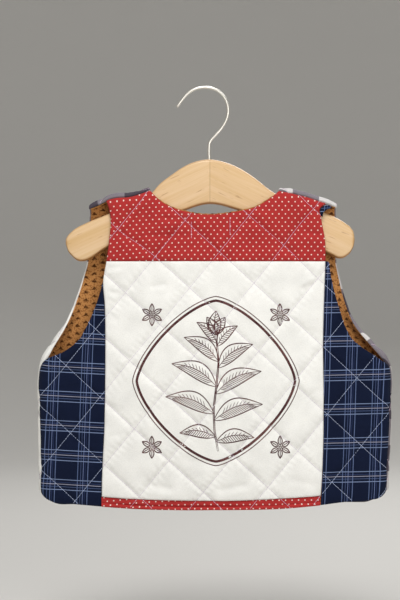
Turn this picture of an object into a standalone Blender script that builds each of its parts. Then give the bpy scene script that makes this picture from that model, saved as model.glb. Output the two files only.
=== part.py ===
"""Toddler's quilted patchwork vest, seen from its back, on a child's wooden hanger with a wire hook.

Metres in the model, millimetres in the tables. +Z is up, +X is to the right of someone who faces the
vest's back, and +Y points to the vest's front. The origin is the inside of the hook's crown.

The vest is laid out as its maker would cut it. Every panel is a grid of points on the cloth's plain
inside, given by how far each lies along the cloth from the middle of the back, and by its height. The
function "around" bends that flat cut round the body, and "over_shoulder" bends the straps over the
hanger. A wall is that grid and a second one outside it, which stands proud where the quilting puffs.
"""

import math

import bmesh
import bpy
import numpy as np

MM = 0.001

# Driving sizes, in millimetres
CENTRE_X = 10.0          # middle line of the vest
SEAM_GAP = 0.3           # between two panels at a seam
FRONT_GAP = 1.0          # between the two fronts
STITCH_WALL = 1.8        # quilted wall along its stitch lines and edges
PUFF = 2.6               # how far the filling stands up between the stitch lines
LINING_WALL = 1.0
LINING_GAP = 0.9         # between the quilted wall and its lining
LINING_INSET = 1.2       # how far the lining stays back from the quilted edge
LINING_NECK_INSET = 0.5
EDGE_FADE = 9.0          # the puffs sink to the plain wall over this width at a free edge
GRID = 11.5              # spacing of the points of a quilted panel
ARMHOLE_GRID = 9.2       # and where a panel bends round an armhole
LINING_GRID = 22.0       # spacing of the points of a lining
YOKE_DROP = 60.0         # rough sizes of the panels, for counting their rows and columns
PANEL_DROP = 240.0
PANEL_WIDTH = 220.0
SIDE_DROP = 200.0
FRONT_WIDTH = 160.0

YOKE_Z = -174.5          # seam under both yokes
UNDERARM_Z = -279.0      # foot of the armholes
SHOULDER_RADIUS = 8.0    # plain inside of a strap over the hanger
SHOULDER_SEAM = math.radians(43)     # the seam lies this far behind the strap's ridge
FRONT_HEM_Z = -419.0
HEM_ROLL = 3.5           # height of the rolled edge under the band
HEM_ROLL_PROUD = 1.4

SMALL_STEP = 0.05        # for the normals of a surface

QUILT_ACROSS = 64.7      # width of a quilting diamond
QUILT_DOWN = 68.4        # height of a quilting diamond
QUILT_TILT_X = 1 / 960   # the lattice leans with the hang of the cloth
QUILT_TILT_Z = 1 / 925
QUILT_START = (0.44, -2.93)
PUFF_SHAPE = 0.6         # below 1 the puffs are full, with a narrow valley at the stitches

HANGER_DEPTH = 10.4
HANGER_BEVEL = 3.4
PATCH_WIDTH = (2.0, 6.0)     # the navy end at the right shoulder, at its foot and at its top
PATCH_SLOPE = 0.45
HEM_RISE = 13.0          # a front's hem climbs this far towards its side seam
HEM_RISE_WIDTH = 24.0    # over this much cloth
HEM_CORNER_Z = -405.0    # hem at the side seams
BAND_ROWS = (0.0, 0.3, 0.62, 0.72, 0.86, 1.0)    # the last four round the roll
FOLD_SHARE = 0.12        # share of a front's width that goes round the side fold
LINING_TURN = math.radians(25)       # the back's lining ends this far round the fold
WIRE = 3.0               # diameter of the hook's wire
BORE_CLEARANCE = 0.3
BORE_DEPTH = 14.0

# The silhouette of the body: where the cloth's plain inside turns from back to front, and how far
# round that fold, in degrees from the back, the front cloth reaches: to the side seam, and above the
# underarm to the armhole's edge
FOLDS = (  # height, left x, right x, left reach, right reach
    (-424.0, -165.0, 183.0, 54, 54),
    (-385.0, -164.8, 183.8, 54, 54),
    (-350.0, -164.8, 185.2, 54, 54),
    (-313.0, -165.8, 186.2, 54, 54),
    (-292.0, -165.4, 186.2, 54, 54),
    (-279.0, -163.4, 184.4, 54, 54),
    (-271.0, -160.4, 180.2, 40, 45),
    (-262.0, -155.5, 172.2, 42, 48),
    (-253.0, -149.0, 163.5, 52, 58),
    (-243.0, -142.0, 154.5, 66, 72),
    (-233.0, -136.5, 148.5, 84, 88),
    (-223.0, -133.0, 145.5, 104, 108),
    (-208.0, -131.0, 144.0, 134, 136),
    (-190.0, -129.8, 143.8, 164, 164),
    (-175.0, -127.8, 142.8, 180, 180),
    (-130.0, -124.6, 141.6, 180, 180),
    (-100.0, -123.4, 140.6, 180, 180),
)

# How deep the body hangs open
DEPTHS = (  # height, radius of the side fold, swell of the middle
    (-424.0, 9.0, 4.5),
    (-360.0, 9.5, 8.0),
    (-300.0, 9.5, 8.5),
    (-240.0, 9.3, 6.0),
    (-185.0, 8.8, 1.6),
    (-150.0, 8.2, 0.2),
    (-130.0, 8.0, 0.0),
    (-100.0, 8.0, 0.0),
)

# Long seams and free edges of the yoke and of the centre panel
BACK_EDGES = (  # height, left x, right x
    (-425.0, -103.4, 116.2),
    (-388.0, -102.6, 118.3),
    (-350.0, -100.6, 119.3),
    (-313.0, -99.8, 119.5),
    (-263.0, -99.5, 119.0),
    (-220.0, -100.2, 120.0),
    (-193.5, -101.8, 121.0),
    (-175.5, -98.8, 121.6),
    (-153.5, -96.0, 121.2),
    (-131.5, -94.5, 117.5),
    (-120.5, -96.6, 117.6),
    (-117.2, -97.6, 122.6),
    (-114.3, -98.8, 124.0),
)

# Edges of the back's armholes below the yoke
BACK_ARMHOLES = (  # height, left x, right x
    (-279.0, -164.5, 185.5),
    (-275.5, -161.5, 179.0),
    (-271.0, -154.5, 173.0),
    (-267.0, -144.5, 167.5),
    (-261.5, -135.5, 159.0),
    (-253.0, -126.0, 148.7),
    (-243.0, -120.0, 142.8),
    (-223.5, -111.0, 136.0),
    (-193.5, -101.8, 127.9),
    (-173.5, -98.5, 124.8),
)

BACK_NECK = (  # x, height
    (-55.0, -103.2),
    (-45.0, -113.2),
    (-34.5, -119.5),
    (-18.0, -124.6),
    (0.0, -127.4),
    (15.0, -127.0),
    (35.0, -124.0),
    (52.0, -119.6),
    (65.0, -111.8),
    (75.0, -104.2),
)

FRONT_NECK = (  # height, left x, right x
    (-174.5, 9.5, 10.5),
    (-160.0, -16.0, 36.0),
    (-145.0, -34.0, 54.0),
    (-128.0, -47.0, 67.5),
    (-108.0, -54.6, 74.6),
    (-100.0, -55.0, 75.0),
)

RIDGE = (  # x, height of the plain inside at the top of the straps
    (-116.0, -120.0),
    (-105.0, -115.0),
    (-97.0, -111.2),
    (-88.0, -109.2),
    (-76.0, -108.4),
    (-64.0, -105.0),
    (-54.0, -101.0),
    (74.0, -102.0),
    (88.0, -104.6),
    (100.0, -107.5),
    (112.0, -111.5),
    (122.0, -114.6),
    (133.0, -118.0),
)

BACK_HEM = (  # x, height of the band's seam, height of the hem
    (-165.0, -395.0, -405.0),
    (-161.0, -400.0, -411.0),
    (-152.0, -405.0, -416.8),
    (-130.0, -408.0, -418.8),
    (-103.0, -411.0, -421.0),
    (-75.0, -413.0, -422.8),
    (-25.0, -414.4, -424.2),
    (15.0, -414.8, -424.0),
    (85.0, -412.2, -422.4),
    (116.0, -410.2, -419.6),
    (140.0, -408.0, -416.6),
    (166.0, -405.0, -414.6),
    (179.0, -399.0, -410.0),
    (183.0, -395.0, -405.0),
)

HANGER = (  # x, top edge, bottom edge
    (-140.0, -151.5, -157.5),
    (-138.0, -148.5, -163.5),
    (-134.0, -144.3, -169.0),
    (-128.5, -140.2, -173.6),
    (-122.0, -137.0, -174.4),
    (-114.0, -133.3, -171.2),
    (-104.0, -129.4, -164.2),
    (-80.0, -118.6, -152.4),
    (-54.5, -106.4, -140.2),
    (-44.5, -95.6, -135.4),
    (-34.5, -88.0, -130.4),
    (-24.5, -81.0, -125.4),
    (-14.5, -75.6, -121.3),
    (-4.5, -72.5, -118.0),
    (5.5, -71.5, -116.5),
    (15.5, -73.0, -117.6),
    (25.5, -76.0, -120.3),
    (35.5, -80.5, -123.6),
    (45.5, -86.5, -128.2),
    (55.5, -94.0, -133.0),
    (65.5, -102.0, -137.8),
    (74.5, -107.6, -142.2),
    (100.0, -116.6, -154.4),
    (128.5, -128.5, -168.3),
    (136.0, -132.0, -171.6),
    (143.0, -136.4, -169.6),
    (148.5, -141.6, -163.6),
    (151.0, -147.0, -157.5),
    (151.5, -150.5, -154.5),
)

HOOK = (  # x, z of the wire's middle, from the wood to the tip
    (5.0, -84.0),
    (4.8, -71.5),
    (4.5, -61.5),
    (5.6, -53.5),
    (10.5, -47.5),
    (15.5, -42.0),
    (20.0, -35.5),
    (23.0, -28.5),
    (23.9, -21.5),
    (22.6, -13.8),
    (19.2, -7.4),
    (14.0, -2.4),
    (7.6, 0.6),
    (0.8, 1.5),
    (-6.0, 0.9),
    (-12.8, -1.8),
    (-18.6, -6.4),
    (-23.6, -12.4),
    (-28.0, -18.6),
)

# Colours (red, green, blue, alpha), roughness and metallic value
RED_PIN_DOT = ((0.43, 0.03, 0.04, 1.0), 0.85, 0.0)
CREAM_CANVAS = ((0.83, 0.82, 0.79, 1.0), 0.85, 0.0)
NAVY_PLAID = ((0.02, 0.03, 0.09, 1.0), 0.85, 0.0)
GREY_CHECK = ((0.38, 0.35, 0.37, 1.0), 0.85, 0.0)
TAN_LINING = ((0.48, 0.22, 0.06, 1.0), 0.8, 0.0)
BEECH = ((0.77, 0.56, 0.33, 1.0), 0.5, 0.0)
STEEL_WIRE = ((0.66, 0.64, 0.58, 1.0), 0.3, 1.0)


def clear_scene():
    for item in list(bpy.data.objects):
        bpy.data.objects.remove(item, do_unlink=True)


def curve(table, at, column):
    """Smooth curve through a table's rows: a cubic between each two, its slopes the mean of the chords."""
    rows = np.array(table, float)
    keys, values = rows[:, 0], rows[:, column]
    slopes = np.gradient(values, keys)
    at = np.clip(np.asarray(at, float), keys[0], keys[-1])
    low = np.clip(np.searchsorted(keys, at) - 1, 0, len(keys) - 2)
    span = keys[low + 1] - keys[low]
    t = (at - keys[low]) / span
    start = values[low] * (2 * t**3 - 3 * t**2 + 1) + slopes[low] * span * (t**3 - 2 * t**2 + t)
    finish = values[low + 1] * (3 * t**2 - 2 * t**3) + slopes[low + 1] * span * (t**3 - t**2)
    return start + finish


def blend(start, finish, share):
    return start + (finish - start) * share


def spaced(length, step):
    """Even shares from 0 to 1 that cut a length into pieces of about one step."""
    return np.linspace(0.0, 1.0, max(2, round(length / step) + 1))


def fold_sizes(side, height):
    """Radius of the side fold, and width of the flat cloth from the middle line to that fold."""
    radius = curve(DEPTHS, height, 1)
    left = CENTRE_X - curve(FOLDS, height, 1)
    right = curve(FOLDS, height, 2) - CENTRE_X
    return radius, np.where(np.asarray(side) < 0, left, right) - radius


def ridge(x):
    return curve(RIDGE, x, 1)


def around(along, height):
    """Points of the plain inside, for distances along the cloth from the middle of the back.

    The section is a flat back, a half circle at the side fold and a flat front. A swell, greatest at
    the middle line and nothing at the folds, opens the two flats. At the back, the cloth also leans
    over the hanger along a circle under the strap's ridge.
    """
    side = np.sign(along)
    radius, flat = fold_sizes(side, height)
    turn = np.clip((np.abs(along) - flat) / radius, 0.0, math.pi)
    past = np.maximum(np.abs(along) - flat - math.pi * radius, 0.0)
    reach = np.minimum(np.abs(along), flat) - past
    x = CENTRE_X + side * (reach + radius * np.sin(turn))
    depth = radius + curve(DEPTHS, height, 2) * (1 - (reach / flat) ** 2) ** 2
    under = np.clip((ridge(x) - height) / SHOULDER_RADIUS, 0.0, 1.0)
    lean = np.where(turn < math.pi / 2, np.sqrt(1 - (1 - under) ** 2), 1.0)
    return np.stack([x, -np.cos(turn) * depth * lean, height + 0 * x], axis=-1)


def skin(shape, first, second):
    """Points of a surface with their outward normals beside them, from two small steps each way."""
    first, second = np.broadcast_arrays(first, second)
    across = shape(first + SMALL_STEP, second) - shape(first - SMALL_STEP, second)
    down = shape(first, second + SMALL_STEP) - shape(first, second - SMALL_STEP)
    normal = np.cross(across, down)
    normal /= np.linalg.norm(normal, axis=-1, keepdims=True)
    return np.concatenate([shape(first, second), normal], axis=-1)


def back_point(x, height):
    return around(x - CENTRE_X, height)


def over_shoulder(x, angle):
    """Points of a strap's plain inside: 0 is the ridge, less is behind it, a quarter turn the front."""
    z = ridge(x) - SHOULDER_RADIUS * (1 - np.cos(angle))
    return np.stack([x + 0 * z, SHOULDER_RADIUS * np.sin(angle) + 0 * z, z], axis=-1)


def seam_height(x):
    return ridge(x) - SHOULDER_RADIUS * (1 - math.cos(SHOULDER_SEAM))


def puffs(points, mirror):
    """Height of the filling from 0 to 1: the sines of the two families of stitch lines, multiplied."""
    x = points[..., 0]
    z = points[..., 2]
    if mirror:
        x = 2 * CENTRE_X - x
    across = QUILT_START[0] + x / QUILT_ACROSS + z * QUILT_TILT_X
    down = QUILT_START[1] + x * QUILT_TILT_Z - z / QUILT_DOWN
    lines = np.sin(math.pi * (across + down)) * np.sin(math.pi * (down - across))
    return np.abs(lines) ** PUFF_SHAPE


def edge_fade(points, free_edges):
    """1 inside a panel, falling to 0 at each free edge that is named."""
    fade = np.ones(points.shape[:2])
    lines = {"first_row": points[:1], "last_row": points[-1:],
             "first_column": points[:, :1], "last_column": points[:, -1:]}
    for name in free_edges:
        away = np.linalg.norm(points - lines[name], axis=-1) / EDGE_FADE
        fade = np.minimum(fade, np.clip(away, 0.0, 1.0) ** 0.5)
    return fade


def wall_object(name, inner, outer, finish):
    """A closed wall between two grids of the same shape, with a rim of quads round its four edges."""
    rows, columns = inner.shape[:2]
    index = np.arange(rows * columns).reshape(rows, columns)
    quads = np.stack([index[:-1, :-1], index[:-1, 1:], index[1:, 1:], index[1:, :-1]], axis=-1)
    quads = quads.reshape(-1, 4)
    loop = np.concatenate([index[0, :-1], index[:-1, -1], index[-1, :0:-1], index[:0:-1, 0]])
    ahead = np.roll(loop, -1)
    count = rows * columns
    rim = np.stack([ahead, loop, loop + count, ahead + count], axis=-1)
    faces = np.concatenate([quads[:, ::-1], quads + count, rim])
    points = np.concatenate([inner.reshape(-1, 3), outer.reshape(-1, 3)]) * MM
    mesh = bpy.data.meshes.new(name)
    mesh.from_pydata(points.tolist(), [], faces.tolist())
    return finish_object(name, mesh, finish)


def finish_object(name, mesh, finish):
    """Faces turned outwards, smooth shading with sharp rims, and the piece's own material."""
    solid = bmesh.new()
    solid.from_mesh(mesh)
    bmesh.ops.recalc_face_normals(solid, faces=solid.faces)
    if solid.calc_volume(signed=True) < 0:
        bmesh.ops.reverse_faces(solid, faces=solid.faces)
    solid.to_mesh(mesh)
    solid.free()
    mesh.shade_smooth()
    mesh.set_sharp_from_angle(angle=math.radians(50))
    colour, roughness, metallic = finish
    material = bpy.data.materials.new(name)
    material.use_nodes = True
    shader = material.node_tree.nodes["Principled BSDF"]
    shader.inputs["Base Color"].default_value = colour
    shader.inputs["Roughness"].default_value = roughness
    shader.inputs["Metallic"].default_value = metallic
    mesh.materials.append(material)
    item = bpy.data.objects.new(name, mesh)
    bpy.context.scene.collection.objects.link(item)
    return item


def quilted(name, sheet, finish, free_edges, mirror=False):
    """A quilted panel: its plain inside, and its outside raised by the wall and the puffs."""
    points, normal = sheet[..., :3], sheet[..., 3:]
    raised = STITCH_WALL + PUFF * puffs(points, mirror) * edge_fade(points, free_edges)
    return wall_object(name, points, points + normal * raised[..., None], finish)


def lining(name, sheet, finish):
    """A plain lining under the quilted wall."""
    points, normal = sheet[..., :3], sheet[..., 3:]
    outer = points - normal * LINING_GAP
    return wall_object(name, outer - normal * LINING_WALL, outer, finish)


def yoke_rows(step):
    """Shares from the yoke's seam to its top, closer together where the cloth leans over the hanger."""
    return np.concatenate([spaced(YOKE_DROP * 0.8, step) * 0.8, [0.87, 0.93, 0.97, 1.0]])


def yoke_edge(rows, column):
    """Places and heights of the yoke's edge at the armhole, from its seam to the shoulder."""
    height = blend(YOKE_Z + SEAM_GAP / 2, seam_height(BACK_EDGES[-1][column]) - SEAM_GAP, rows)
    return curve(BACK_EDGES, height, column), height


def yoke_top(x):
    """Height of the yoke's upper edge: the shoulder seams, and the neck's curve between them."""
    shoulder = seam_height(x) - SEAM_GAP
    at_neck = (x > BACK_NECK[0][0] - SEAM_GAP) & (x < BACK_NECK[-1][0] + SEAM_GAP)
    return np.where(at_neck, np.minimum(curve(BACK_NECK, x, 1), shoulder), shoulder)


def neck_columns(step):
    """Shares across the neck, with one more column beside each strap."""
    shares = spaced(BACK_NECK[-1][0] - BACK_NECK[0][0], step)
    return np.concatenate([[0.0, 0.028], shares[1:-1], [0.972, 1.0]])


def build_back_yoke():
    """Yoke from the seam above the centre panel to the shoulder seams and the neck."""
    half = SEAM_GAP / 2
    neck_left, neck_right = BACK_NECK[0][0], BACK_NECK[-1][0]
    strap = spaced(neck_left - curve(BACK_EDGES, YOKE_Z, 1), GRID)
    neck = neck_columns(GRID)
    rows = yoke_rows(GRID)[:, None]
    grid = []
    for section, shares in (("left", strap[:-1]), ("neck", neck), ("right", strap[1:])):
        edge_left, edge_right = neck_left, neck_right
        if section == "left":
            edge_left, edge_right = yoke_edge(rows, 1)[0], neck_left
        if section == "right":
            edge_left, edge_right = neck_right, yoke_edge(rows, 2)[0]
        x = blend(edge_left, edge_right, shares[None, :]) + 0 * rows
        top = yoke_top(x[-1:])
        grid.append(skin(back_point, x, blend(YOKE_Z + half, top, rows)))
    sheet = np.concatenate(grid, axis=1)
    quilted("back_yoke", sheet, RED_PIN_DOT, ("last_row", "first_column"))


def build_back_centre():
    """Centre panel between the yoke, the side panels and the hem band."""
    half = SEAM_GAP / 2
    rows = spaced(PANEL_DROP, GRID)[:, None]
    shares = spaced(PANEL_WIDTH, GRID)[None, :]
    height = blend(YOKE_Z - half, curve(BACK_HEM, CENTRE_X, 1), rows)
    x = blend(curve(BACK_EDGES, height, 1) + half, curve(BACK_EDGES, height, 2) - half, shares)
    height = blend(YOKE_Z - half, curve(BACK_HEM, x, 1) + half, rows)
    quilted("back_centre", skin(back_point, x, height), CREAM_CANVAS, ())


def build_back_hem_band():
    """Narrow band under the centre panel, its lower edge folded into a roll."""
    half = SEAM_GAP / 2
    shares = spaced(PANEL_WIDTH, GRID)[None, :]
    rows = np.array(BAND_ROWS)[:, None]
    x = blend(BACK_EDGES[0][1] + half, BACK_EDGES[0][2] - half, shares) + 0 * rows
    seam = curve(BACK_HEM, x, 1) - half
    foot = curve(BACK_HEM, x, 2)
    height = blend(seam, foot, rows)
    roll = np.clip((height - foot) / HEM_ROLL, 0.0, 1.0)
    proud = HEM_ROLL_PROUD * np.sqrt(np.clip(1 - (2 * roll - 1) ** 2, 0.0, 1.0))
    sheet = skin(back_point, x, height)
    points = sheet[..., :3]
    outer = points + sheet[..., 3:] * (STITCH_WALL + proud)[..., None]
    wall_object("back_hem_band", points, outer, RED_PIN_DOT)


def side_seam(side, height):
    """Distance along the cloth to the seam of the side panel and the front, behind the side fold."""
    radius, flat = fold_sizes(side, height)
    reach = np.radians(curve(FOLDS, UNDERARM_Z, 3))
    return side * (flat + radius * reach)


def panel_between(top, foot, first, last, down, across):
    """Coons patch: a panel that follows four edge curves, all given as (along, height) arrays."""
    down = down[:, None, None]
    across = across[None, :, None]
    ruled = blend(top[None], foot[None], down) + blend(first[:, None], last[:, None], across)
    upper = blend(top[0], top[-1], across)
    lower = blend(foot[0], foot[-1], across)
    return ruled - blend(upper, lower, down)


def build_back_side(name, side, column):
    """Side panel from the centre panel's seam, under the armhole, to the seam behind the side fold."""
    half = SEAM_GAP / 2
    top_z = BACK_EDGES[6][0] if side < 0 else YOKE_Z
    seam_x = curve(BACK_EDGES, top_z, column) + side * half
    radius, flat_width = fold_sizes(side, UNDERARM_Z)
    width = abs(side_seam(side, UNDERARM_Z)) - abs(seam_x - CENTRE_X)
    flat_share = (flat_width - abs(seam_x - CENTRE_X)) / width
    shares = np.concatenate([spaced(width, ARMHOLE_GRID) * flat_share, [(flat_share + 1) / 2, 1.0]])
    down = spaced(SIDE_DROP, GRID)
    fine = np.linspace(top_z, UNDERARM_Z, 200)
    edge_x = curve(BACK_ARMHOLES, fine, column)
    edge_along = edge_x - CENTRE_X
    edge_along[0] = seam_x - CENTRE_X
    edge_along[-1] = side_seam(side, UNDERARM_Z) - side * half
    walked = np.concatenate([[0.0], np.cumsum(np.hypot(np.diff(edge_along), np.diff(fine)))])
    stops = walked[-1] * shares
    top = np.stack([np.interp(stops, walked, edge_along), np.interp(stops, walked, fine)], axis=-1)
    foot_seam = curve(BACK_EDGES, BACK_EDGES[0][0], column) + side * half - CENTRE_X
    foot_side = side_seam(side, HEM_CORNER_Z) - side * half
    foot_along = blend(foot_seam, foot_side, shares)
    foot_x = around(foot_along, np.full(len(shares), HEM_CORNER_Z))[:, 0]
    foot = np.stack([foot_along, curve(BACK_HEM, foot_x, 2)], axis=-1)
    seam_z = blend(top_z, foot[0, 1], down)
    first = np.stack([curve(BACK_EDGES, seam_z, column) + side * half - CENTRE_X, seam_z], axis=-1)
    first[-1, 0] = foot_seam
    side_z = blend(UNDERARM_Z, foot[-1, 1], down)
    last = np.stack([side_seam(side, side_z) - side * half, side_z], axis=-1)
    last[-1, 0] = foot_side
    flat = panel_between(top, foot, first, last, down, shares)
    sheet = skin(around, flat[..., 0], flat[..., 1])
    quilted(name, sheet, NAVY_PLAID, ("first_row", "last_row"))


def build_shoulder_patch():
    """End of the side panel's cloth, which shows again where the right armhole meets the shoulder."""
    rows = yoke_rows(GRID)[-4:, None]
    shares = np.linspace(0.0, 1.0, 3)[None, :]
    seam, height = yoke_edge(rows, 2)
    width = blend(PATCH_WIDTH[0], PATCH_WIDTH[1], np.linspace(0.0, 1.0, 4)[:, None])
    x = seam + SEAM_GAP + width * shares
    sheet = skin(back_point, x, height - PATCH_SLOPE * width * shares)
    points = sheet[..., :3]
    wall_object("shoulder_patch_right", points, points + sheet[..., 3:] * STITCH_WALL, NAVY_PLAID)


def front_rows(step):
    """The rows of a front: angles over the shoulder, then shares of strap, armhole and side."""
    arch = np.linspace(-SHOULDER_SEAM, math.pi / 2, 6)
    strap = spaced(YOKE_DROP, step)[1:]
    armhole = spaced(YOKE_Z - UNDERARM_Z, ARMHOLE_GRID)[1:]
    side = spaced(UNDERARM_Z - FRONT_HEM_Z, step)[1:]
    return arch, strap, armhole, side


def front_columns(step):
    """Shares across a front: close together round the side fold and wider on the flat."""
    fold = np.linspace(0.0, FOLD_SHARE, 5)
    flat = blend(FOLD_SHARE, 1.0, spaced(FRONT_WIDTH, step))
    return np.concatenate([fold, flat[1:]])[None, :]


def front_edge(side, height, column):
    """Distance along the cloth to a front's outer edge: its armhole, and below it the side seam."""
    radius, flat = fold_sizes(side, height)
    reach = np.radians(curve(FOLDS, height, column + 2))
    return side * (flat + radius * reach + SEAM_GAP / 2)


def front_middle(side, height):
    radius, flat = fold_sizes(side, height)
    return side * (2 * flat + math.pi * radius - FRONT_GAP / 2)


def front_grid(side, column, step, inset=0.0):
    """Points of a front's plain inside, row by row from the shoulder seam to the hem."""
    arch, strap, armhole, lower = front_rows(step)
    shares = front_columns(step)
    outer_x = CENTRE_X + side * (fold_sizes(side, RIDGE[0][1])[1] - inset)
    inner_x = curve(FRONT_NECK, RIDGE[6][1], column) + side * inset
    across = blend(outer_x, inner_x, shares)
    rows = [skin(over_shoulder, across, arch[:, None])]
    height = blend(ridge(across) - SHOULDER_RADIUS, YOKE_Z, strap[:, None])
    outer = CENTRE_X + side * (fold_sizes(side, height[:, :1])[1] - inset)
    inner = curve(FRONT_NECK, height[:, -1:], column) + side * inset
    x = blend(outer, inner, shares)
    radius, flat = fold_sizes(side, height)
    rows.append(skin(around, side * (2 * flat + math.pi * radius - np.abs(x - CENTRE_X)), height))
    rows.append(front_body_rows(side, column, shares, armhole[:, None], YOKE_Z, UNDERARM_Z, inset))
    foot = FRONT_HEM_Z + inset
    rows.append(front_body_rows(side, column, shares, lower[:, None], UNDERARM_Z, foot, inset))
    return np.concatenate(rows, axis=0)


def front_body_rows(side, column, shares, share, top, foot, inset):
    """Rows between two heights. The hem rises over the last stretch to the side fold."""
    height = blend(top, foot, share)
    radius, flat = fold_sizes(side, height)
    outer = front_edge(side, height, column) + side * inset
    along = blend(outer, front_middle(side, height) - side * inset, shares)
    if foot < UNDERARM_Z:
        from_fold = (np.abs(along) - flat - 2.0 * radius) / HEM_RISE_WIDTH
        height = height + HEM_RISE * np.clip(1 - from_fold, 0.0, 1.0) ** 2 * share**2
    return skin(around, along, height)


def build_front(side, column, label):
    """One front. The left has a checked yoke over a cream panel, the right is one checked piece."""
    half = SEAM_GAP / 2
    whole = front_grid(side, column, GRID)
    arch, strap, armhole, lower = front_rows(GRID)
    seam_row = len(arch) + len(strap) - 1
    edges = ["first_column", "last_column"]
    if side < 0:
        yoke = whole[:seam_row + 1].copy()
        yoke[-1, :, 2] += half
        quilted("front_left_yoke", yoke, GREY_CHECK, edges, mirror=True)
        panel = whole[seam_row:].copy()
        panel[0, :, 2] -= half
        quilted("front_left_panel", panel, CREAM_CANVAS, edges + ["last_row"], mirror=True)
    else:
        quilted("front_right_panel", whole, GREY_CHECK, edges + ["last_row"], mirror=True)
    lining("lining_front_" + label, front_grid(side, column, LINING_GRID, LINING_INSET), TAN_LINING)


def back_lining_edge(side, column, height):
    """How far the back's lining reaches from the middle line: its armhole, or a little round the fold."""
    radius, flat = fold_sizes(side, height)
    round_fold = flat + radius * LINING_TURN
    armhole = np.abs(curve(BACK_ARMHOLES, height, column) - CENTRE_X) - LINING_INSET
    edge = np.where(height < UNDERARM_Z, round_fold, np.minimum(armhole, round_fold))
    return np.minimum(flat, edge * 0.97), edge


def build_back_lining():
    """Lining of the whole back, in rows that follow the hem, the armholes, the straps and the neck."""
    neck_left, neck_right = BACK_NECK[0][0], BACK_NECK[-1][0]
    side_shares = spaced(52.0, LINING_GRID)[None, :]
    heights = np.concatenate([np.linspace(-408.0, -300.0, 6), np.linspace(-288.0, -240.0, 7),
                              np.linspace(-228.0, YOKE_Z, 4)])[:, None]
    middle = blend(neck_left, neck_right, neck_columns(LINING_GRID)[None, :]) - CENTRE_X + 0 * heights
    sides = []
    for side, column, neck_x in ((-1, 1, neck_left), (1, 2, neck_right)):
        turn_start, edge = back_lining_edge(side, column, heights)
        stretch = blend(abs(neck_x - CENTRE_X), turn_start, side_shares)
        sides.append(side * np.concatenate([stretch, (turn_start + edge) / 2, edge], axis=1))
    left, right = sides
    along = np.concatenate([left[:, :0:-1], middle, right[:, 1:]], axis=1)
    hem_x = around(along[:1], heights[:1] + 0 * along[:1])[..., 0]
    body_z = np.concatenate([curve(BACK_HEM, hem_x, 2) + LINING_INSET, heights[1:] + 0 * along[1:]])
    body = skin(around, along, body_z)
    lift = yoke_rows(LINING_GRID)[1:, None]
    seam_x = along[-1:] + CENTRE_X
    on_left = np.clip((neck_left - seam_x) / (neck_left - seam_x[0, 0]), 0.0, 1.0)
    on_right = np.clip((seam_x - neck_right) / (seam_x[0, -1] - neck_right), 0.0, 1.0)
    left_edge = yoke_edge(lift, 1)[0] + LINING_INSET
    right_edge = yoke_edge(lift, 2)[0] - LINING_INSET
    x = np.clip(seam_x, neck_left, neck_right)
    x = x + (left_edge - neck_left) * on_left + (right_edge - neck_right) * on_right
    upper = skin(back_point, x, blend(YOKE_Z, yoke_top(x) - LINING_NECK_INSET, lift))
    lining("lining_back", np.concatenate([body, upper], axis=0), TAN_LINING)


def build_hanger():
    """Flat wooden hanger: a section with bevelled corners carried from one arm's end to the other's."""
    rows = np.array(HANGER)
    x, top, foot = (column[:, None] for column in rows.T)
    bevel = np.minimum(HANGER_BEVEL, (top - foot) * 0.35)
    deep = HANGER_DEPTH / 2
    flat = deep - HANGER_BEVEL
    y = np.array([-flat, flat, deep, deep, flat, -flat, -deep, -deep])[None, :] + 0 * x
    z = np.concatenate([top, top, top - bevel, foot + bevel, foot, foot, foot + bevel, top - bevel], axis=1)
    ring = np.stack([x + 0 * y, y, z], axis=-1) * MM
    stations, corners = ring.shape[:2]
    index = np.arange(stations * corners).reshape(stations, corners)
    here, ahead = index[:-1], index[1:]
    sides = np.stack([here, np.roll(here, -1, 1), np.roll(ahead, -1, 1), ahead], axis=-1).reshape(-1, 4)
    mesh = bpy.data.meshes.new("hanger_wood")
    ends = [index[0].tolist(), index[-1, ::-1].tolist()]
    mesh.from_pydata(ring.reshape(-1, 3).tolist(), [], sides.tolist() + ends)
    wood = finish_object("hanger_wood", mesh, BEECH)
    cut_bore(wood)


def cut_bore(wood):
    """Blind hole in the middle of the hanger, which the hook's shank drops into."""
    foot_x, foot_z = HOOK[0]
    radius = (WIRE / 2 + BORE_CLEARANCE) * MM
    length = (BORE_DEPTH + 10.0) * MM
    drill = bmesh.new()
    bmesh.ops.create_cone(drill, cap_ends=True, segments=12, radius1=radius, radius2=radius, depth=length)
    bmesh.ops.translate(drill, verts=drill.verts,
                        vec=(foot_x * MM, 0.0, (foot_z - BORE_CLEARANCE) * MM + length / 2))
    mesh = bpy.data.meshes.new("bore_cutter")
    drill.to_mesh(mesh)
    drill.free()
    cutter = bpy.data.objects.new("bore_cutter", mesh)
    bpy.context.scene.collection.objects.link(cutter)
    cutter.hide_render = True
    cutter.display_type = "WIRE"
    cut = wood.modifiers.new("bore", "BOOLEAN")
    cut.operation = "DIFFERENCE"
    cut.solver = "EXACT"
    cut.object = cutter


def merge_points(mesh):
    tube = bmesh.new()
    tube.from_mesh(mesh)
    bmesh.ops.remove_doubles(tube, verts=tube.verts, dist=0.01 * MM)
    tube.to_mesh(mesh)
    tube.free()


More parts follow.
